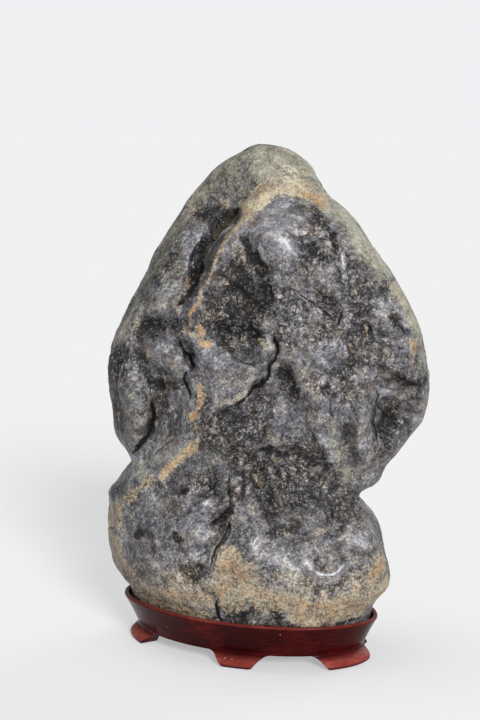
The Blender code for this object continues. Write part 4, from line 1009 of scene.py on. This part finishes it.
# %% Dark and pale grains
GRAINS_PER_METRE = 1000
NODULES_PER_METRE = 240
stone_finish, tree, shader = new_finish("waxed_grey_stone")
where = add("ShaderNodeTexCoord").outputs["Object"]
rind, dark, pale, skin = (stored(name) for name in ("rind", "dark", "pale", "skin"))
hollow, crest, rust, polish = (stored(name) for name in ("hollow", "crest", "rust", "polish"))
coarse, _ = grains(where, GRAINS_PER_METRE)
small, small_far = grains(where, 2 * GRAINS_PER_METRE)
cloud = clouds(where, 150, 6.0, 0.7)
patch = clouds(where, 45, 3.0)
pepper = clouds(where, 900, 4.0, 0.75)
dust = clouds(where, 1500, 3.0, 0.6)
nodules = clouds(wandering(where, 400, 0.004), 330, 2.0, 0.5)
folded = add("ShaderNodeVectorMath", operation="ABSOLUTE")
plug(folded.inputs[0], where)
combed = add("ShaderNodeMapping", vector_type="TEXTURE")
plug(combed.inputs["Vector"], folded.outputs["Vector"])
combed.inputs["Rotation"].default_value = (0, math.radians(50), 0)
combed.inputs["Scale"].default_value = (3.5, 1.0, 1.0)
strands = clouds(combed.outputs["Vector"], 900, 4.0, 0.7)
flecks = soft_step(total((pepper, 1.0), (cloud, 0.4), (1.0, -0.2)), 0.5, 0.62)
print("grains of", 1 / GRAINS_PER_METRE / MM, "mm and half as large")

# %% Nodules with grooves between them, darkened as painted shade, where the skin is broken
bent = wandering(where, 260, 0.006)
knob_tint, _ = grains(bent, NODULES_PER_METRE)
seam_far = grains(bent, NODULES_PER_METRE, "DISTANCE_TO_EDGE")
broken = total((hollow, 0.4), (dark, 0.4), (stored("broken"), 0.7), (1.0, 0.2))
broken = calc("SUBTRACT", broken, skin, clamp=True)
seams = times(soft_step(total((seam_far, -1.0), (1.0, 0.16)), 0.0, 0.16), broken)
# the strongest dark strokes go near black: painted shade in the cleft, pits and slits, and a few black patches
# of stone
near_black_strokes = calc("POWER", dark, 5.0)
# painted shade: the tone is darker in the hollows and along the seams between nodules
tone = total((coarse, 0.26), (small, 0.2), (cloud, 1.2), (patch, 0.5), (pepper, 1.2), (strands, 0.8),
             (nodules, 0.9), (knob_tint, 0.14), (times(flecks, dark), 0.3), (pale, 0.2),
             (dark, -0.36), (near_black_strokes, -0.16), (hollow, -0.16), (seams, -0.35), (crest, 0.05), (1.0, -2.06))
calm = calc("SUBTRACT", total((broken, -1.0), (1.0, 1.0)), dark, clamp=True)
tone = total((tone, 1.0), (times(calm, calc("SUBTRACT", 0.54, tone)), 0.2))
grey = ramp(tone, [(0.0, (15, 15, 16)), (0.2, (40, 38, 39)), (0.4, (71, 69, 70)), (0.55, (97, 95, 96)),
                   (0.75, (127, 125, 126)), (1.0, (177, 175, 175))])
black_grains = soft_step(total((clouds(where, 1150, 2.0, 0.8), 1.0), (cloud, 0.35), (pale, -0.03),
                               (1.0, -0.17)), 0.45, 0.36)
grey = mix(times(black_grains, 0.6), grey, linear((20, 19, 20)))

# %% Cool, brown and olive stone
hue = total((clouds(bent, 95, 3.0), 1.0), (knob_tint, 0.16), (1.0, -0.08))
cool = soft_step(total((hue, 1.0), (pale, 0.12), (polish, 0.2)), 0.48, 0.64)
brown = soft_step(total((hue, -1.0), (1.0, 1.0)), 0.5, 0.62)
body = tint(cool, grey, (0.95, 0.97, 1.08))
body = tint(brown, body, (1.07, 0.96, 0.9))
body = tint(calm, body, (0.985, 1.0, 1.015))
facet = times(soft_step(knob_tint, 0.55, 0.8), broken)
body = tint(facet, body, (1.3, 1.18, 1.08))
body = tint(flecks, body, (1.0, 1.0, 0.88))

# %% Rind, rust and worn skin
rind_tone = total((coarse, 0.22), (small, 0.16), (pepper, 1.1), (cloud, 0.8), (patch, 0.3), (pale, 0.3),
                  (dark, -0.15), (1.0, -0.85))
rind_colour = ramp(rind_tone, [(0.0, (52, 47, 40)), (0.22, (102, 93, 78)), (0.45, (151, 137, 115)),
                               (0.7, (187, 172, 146)), (1.0, (218, 206, 182))])
rust_share = soft_step(total((rust, 1.0), (cloud, 0.8), (pepper, 0.6), (1.0, -0.7)), 0.2, 0.8)
faint_rust = soft_step(clouds(where, 160, 4.0, 0.65), 0.47, 0.6)
bare_rind = calc("SUBTRACT", calc("POWER", rind, 2.0), pale, clamp=True)
faint_rust = times(faint_rust, bare_rind)
grey_rind = soft_step(clouds(where, 75, 4.0, 0.6), 0.5, 0.6)
rind_colour = tint(grey_rind, rind_colour, (0.86, 0.89, 0.94))
rind_colour = tint(pale, rind_colour, (1.0, 1.05, 1.0))
rind_colour = tint(times(faint_rust, 0.9), rind_colour, (1.1, 0.86, 0.58))
rind_colour = tint(rust_share, rind_colour, (1.02, 0.82, 0.66))
skin_tone = total((coarse, 0.14), (small, 0.1), (pepper, 0.7), (strands, 1.0), (cloud, 1.1), (patch, 0.5),
                  (dark, -0.35), (pale, 0.12), (1.0, -1.27))
skin_colour = ramp(skin_tone, [(0.0, (36, 35, 31)), (0.3, (88, 86, 75)), (0.55, (132, 129, 112)),
                               (1.0, (188, 184, 162))])
ragged_edge = total((pepper, 1.4), (cloud, 1.2), (coarse, 0.2), (1.0, -1.4))
rind_share = soft_step(calc("ADD", rind, ragged_edge), 0.2, 0.9)
skin_share = soft_step(calc("ADD", skin, times(ragged_edge, 0.8)), 0.15, 0.85)
body = mix(times(skin_share, 0.9), body, skin_colour)
body = mix(times(rind_share, 0.88), body, rind_colour)

# %% Crystals, painted shade and dirt in the cracks, and painted shade in the hollows
crystals = add_specks(where, 900, 0.04)
body = mix(times(crystals, 0.3), body, linear((180, 178, 176)))
jitter = total((clouds(where, 700, 2.0), 0.9), (1.0, -0.45))
crack_gap = calc("ABSOLUTE", calc("ADD", stored("crack_side"), jitter))
crack_width = stored("crack_width")
in_crack = calc("SUBTRACT", crack_width, crack_gap)
edge = calc("MAXIMUM", times(crack_width, 0.6), 0.3)
crack_share = soft_step(calc("DIVIDE", in_crack, edge), -0.3, 0.9)
# painted shade and dirt in the cracks: near black in narrow cracks, olive-brown in wide ones
crack_shade_and_dirt_tone = total((pepper, 1.5), (coarse, 0.2), (soft_step(crack_width, 0.9, 2.0), 0.58), (1.0, -0.8))
crack_shade_and_dirt = ramp(crack_shade_and_dirt_tone, [(0.0, (10, 9, 7)), (0.3, (24, 22, 17)), (0.6, (58, 54, 43)), (1.0, (104, 98, 78))])
body = mix(crack_share, body, crack_shade_and_dirt)
# painted shade: the colour is darkened where the surface lies in a hollow
painted_hollow_shade = tint(times(hollow, 0.3), body, (0.3, 0.28, 0.26))
plug(shader.inputs["Base Color"], painted_hollow_shade)

# %% Shine and fine relief
roughness = total((coarse, 0.1), (hollow, 0.2), (crack_share, 0.3), (rind_share, 0.12), (cloud, 0.15),
                  (dark, 0.08), (polish, -0.14), (1.0, 0.36))
plug(shader.inputs["Roughness"], roughness)
wax = total((polish, 0.9), (pale, 0.25), (crest, 0.1), (hollow, -0.3), (dark, -0.2), (1.0, 0.1))
plug(shader.inputs["Coat Weight"], calc("ADD", wax, 0.0, clamp=True))
shader.inputs["Coat Roughness"].default_value = 0.34
shader.inputs["Specular IOR Level"].default_value = 0.3
height = total((dust, 0.5), (small_far, 0.2), (cloud, 0.5), (seams, -0.5), (pepper, 0.4))
relief(height, 0.7, 0.8 * MM)
stone.data.materials.append(stone_finish)
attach(stone, "root")
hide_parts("stone")
print("stone finish:", len(tree.nodes), "nodes")

# %% [markdown]
# ## The stand
#
# The stand is one block of wood, carved to an oval: a rim round the recess that holds the stone, a wall that
# leans in to a waist, and a skirt that is cut into feet. A carver saws the oval, then shapes the outside with
# one moulding cut that runs all round. So it is made here as one moulding, spun into a full turn. Then its
# points are moved from the circle to the oval, and the skirt is lifted into arches between the feet.

# %% The moulding: (inset from the rim's outline, height) in mm
PLAN_CENTRE_X = -8.0
PLAN_HALF_WIDTH = 63.5
PLAN_HALF_DEPTH = 49.0
PLAN_LAG = math.radians(-20)  # turns the oval, so that its left end lies further back
WAIST_HEIGHT = 6.5
UNDER_TRAY = 7.2
RIM_HEIGHT = 21.6
RING = 60.0                   # radius of the circle that the moulding is spun on
OUTSIDE = [
    (3.9, 0.0), (3.0, 0.15), (2.6, 0.55), (2.4, 1.2), (2.45, 1.9), (2.8, 2.7), (3.5, 3.5), (4.5, 4.3),
    (5.5, 5.0), (6.2, 5.6), (6.65, 6.15), (6.8, 6.5), (6.75, 7.2), (6.4, 8.2), (5.5, 9.8), (4.6, 11.8),
    (3.6, 13.9), (2.6, 15.8), (1.7, 17.4), (1.0, 18.7), (0.5, 19.6), (0.1, 20.2), (0.0, 20.6), (0.05, 20.95),
    (0.25, 21.3), (0.6, 21.5), (1.1, 21.6),
]
RECESS = [
    (1.6, 21.55), (2.0, 21.35), (2.2, 21.0), (2.45, 20.2), (3.2, 18.4), (4.6, 16.0), (6.6, 13.6), (8.8, 11.6),
    (11.2, 10.0), (30.0, 10.0), (RING, 10.0),
]
UNDERSIDE = [
    (RING, UNDER_TRAY), (30.0, UNDER_TRAY), (13.4, UNDER_TRAY), (12.7, 6.9), (12.4, 6.2), (12.4, 3.0),
    (12.3, 0.5), (11.9, 0.1), (11.4, 0.0), (8.0, 0.0),
]


# %% Spin the moulding
def plan_at(angle, inset):
    """A point of the oval, moved straight in from the rim by inset."""
    x = PLAN_CENTRE_X + PLAN_HALF_WIDTH * math.cos(angle)
    y = PLAN_HALF_DEPTH * math.sin(angle + PLAN_LAG)
    along = Vector((-PLAN_HALF_WIDTH * math.sin(angle), PLAN_HALF_DEPTH * math.cos(angle + PLAN_LAG)))
    along.normalize()
    return Vector((x - along.y * inset, y + along.x * inset))


moulding = bmesh.new()
OUTLINE = OUTSIDE + RECESS + UNDERSIDE
corners = [moulding.verts.new((RING - inset, 0, height)) for inset, height in OUTLINE]
for first, second in zip(corners, corners[1:] + corners[:1]):
    if first.co.x + second.co.x > 0:
        moulding.edges.new((first, second))
bmesh.ops.spin(moulding, geom=moulding.verts[:] + moulding.edges[:], cent=(0, 0, 0), axis=(0, 0, 1),
               angle=2 * math.pi, steps=288, use_merge=True)
bmesh.ops.remove_doubles(moulding, verts=moulding.verts, dist=1e-4)
print("moulding spun:", len(moulding.verts), "points")

# %% Feet and arches, as angles round the oval in degrees
FEET = [(-175, -154), (-103.5, -90.5), (-52, -17), (16, 36), (90, 103.5), (129, 156)]
CORNER = 8.3  # mm that an arch takes to reach its full height
CORNER_CURVE = [(0.0, 0.0), (0.2, 0.34), (0.43, 0.62), (0.7, 0.86), (1.0, 1.0)]


def run_between(first, second):
    """Length round the oval from one angle to another, in mm."""
    stops = [plan_at(math.radians(first + (second - first) * i / 24), 2.4) for i in range(25)]
    return sum((b - a).length for a, b in zip(stops, stops[1:]))


def arch_height(angle):
    """How high the skirt is lifted at this angle: 0 over a foot, the waist in the middle of an arch."""
    turn = math.degrees(angle)
    for (_, last), (first, _) in zip(FEET, FEET[1:] + [(FEET[0][0] + 360, 0)]):
        for shift in (-360, 0, 360):
            if last <= turn + shift <= first:
                edge = min(run_between(last, turn + shift), run_between(turn + shift, first))
                return float(np.interp(edge / CORNER, *zip(*CORNER_CURVE))) * WAIST_HEIGHT
    return 0.0


# %% The rim follows the stone, so it isn't level: (angle in degrees, mm above the moulding)
RIM_WAVE = [
    (-180, 0.9), (-160, 1.8), (-140, 2.4), (-120, 2.0), (-100, 1.9), (-80, 1.7), (-60, 1.3), (-40, 1.0),
    (-20, 0.1), (0, -0.9), (20, -0.9), (60, -0.2), (120, 0.0), (150, 0.3), (180, 0.9),
]
FLARE = 0.35              # how far the wall leans out for each millimetre that it is raised
RECESS_WALL_INSET = 11.0  # further in lies the recess's floor, which stays level
SKIRT_INSET = 12.6        # the feet end here
OUTER_FACE_INSET = 7.0
FULL_OVAL_INSET = 15.0    # further in, the oval only shrinks towards its middle

# %% Bend the moulding to the oval and lift the arches
outer_insets, outer_heights = zip(*OUTSIDE[:12])
lifts = {}
drawn = moulding.verts.layers.float.new("drawn_height")
middle = Vector((PLAN_CENTRE_X, 0))
for corner in moulding.verts:
    angle = math.atan2(corner.co.y, corner.co.x)
    inset = RING - math.hypot(corner.co.x, corner.co.y)
    height = corner.co.z
    corner[drawn] = height
    key = round(angle, 4)
    if key not in lifts:
        lifts[key] = arch_height(angle)
    if height > WAIST_HEIGHT and inset < RECESS_WALL_INSET:
        wave = float(np.interp(math.degrees(angle), *zip(*RIM_WAVE)))
        share = (height - WAIST_HEIGHT) / (RIM_HEIGHT - WAIST_HEIGHT)
        height += wave * share
        inset -= FLARE * wave * share
    if height < WAIST_HEIGHT and inset < SKIRT_INSET:
        lifted = lifts[key] + height * (1 - lifts[key] / WAIST_HEIGHT)
        if inset < OUTER_FACE_INSET:
            inset += np.interp(lifted, outer_heights, outer_insets)
            inset -= np.interp(height, outer_heights, outer_insets)
        height = lifted
    spot = plan_at(angle, min(inset, FULL_OVAL_INSET))
    spot = middle + (spot - middle) * min(1.0, (RING - inset) / (RING - FULL_OVAL_INSET))
    corner.co = Vector((spot.x, spot.y, height)) * MM
bmesh.ops.remove_doubles(moulding, verts=moulding.verts, dist=1e-6)
bmesh.ops.recalc_face_normals(moulding, faces=moulding.faces)
stand_mesh = bpy.data.meshes.new("carved_stand")
moulding.to_mesh(stand_mesh)
moulding.free()
stand = bpy.data.objects.new("carved_stand", stand_mesh)
scene.collection.objects.link(stand)
stand.data.shade_smooth()
print("stand:", len(stand.data.polygons), "faces, size", tuple(round(v, 4) for v in stand.dimensions))

# %% [markdown]
# ## Red-brown lacquer
#
# The wood was stained dark red and lacquered, so it shines like old furniture. The grain shows only as faint
# streaks that run round the oval. The lacquer is thinner and redder where it has worn on the feet and on the
# rim's edge. That lighter red is also painted light: it is laid on the feet's low faces as if lit from above,
# and along the rim's top edge as a painted highlight. A little dust lies on it.

# %% Where the lacquer is worn, and where light is painted on it
stand_places, stand_outward = measured(stand.data)
# wear and painted light: the feet's low faces, unless they face down, get the lighter red
foot_wear_and_light = ease((6.4 - stand_places[:, 2]) / 3.0) * ease(stand_outward[:, 2] * 1.2 + 0.55)
drawn_height = np.zeros(len(stand_places), np.float32)
stand.data.attributes["drawn_height"].data.foreach_get("value", drawn_height)
# wear and a painted highlight: a lighter line along the rim's top edge
rim_wear_and_highlight = ease((drawn_height - 20.2) / 0.9)
store(stand.data, "rubbed_and_lit", np.maximum(foot_wear_and_light, 0.45 * rim_wear_and_highlight))

# %% The lacquer
lacquer, tree, shader = new_finish("red_brown_lacquer")
where = add("ShaderNodeTexCoord").outputs["Object"]
streaks = add("ShaderNodeMapping")
plug(streaks.inputs["Vector"], where)
streaks.inputs["Scale"].default_value = (0.16, 0.5, 1.0)
grain = clouds(streaks.outputs["Vector"], 900, 4.0, 0.6)
cloud = clouds(where, 45, 3.0)
rubbed_and_lit = stored("rubbed_and_lit")
stain = total((grain, 0.6), (cloud, 0.6), (1.0, -0.1))
red = ramp(stain, [(0.2, (18, 3, 4)), (0.5, (46, 5, 5)), (0.8, (90, 16, 13))])
# the lighter red, for wear and for the painted light on the feet and the rim
worn_and_lit_red = ramp(stain, [(0.15, (88, 27, 24)), (0.5, (134, 60, 53)), (0.85, (176, 98, 86))])
coat = mix(times(rubbed_and_lit, 0.85), red, worn_and_lit_red)
dust_specks = add_specks(where, 750, 0.006)
coat = mix(times(dust_specks, 0.5), coat, linear((190, 170, 165)))
plug(shader.inputs["Base Color"], coat)
plug(shader.inputs["Roughness"], total((grain, 0.12), (cloud, 0.1), (dust_specks, 0.3), (1.0, 0.1)))
relief(grain, 0.25, 0.3 * MM)
shader.inputs["Specular IOR Level"].default_value = 0.05
stand.data.materials.append(lacquer)
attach(stand, "root")
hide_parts("wooden_stand")
print("lacquer:", len(tree.nodes), "nodes")
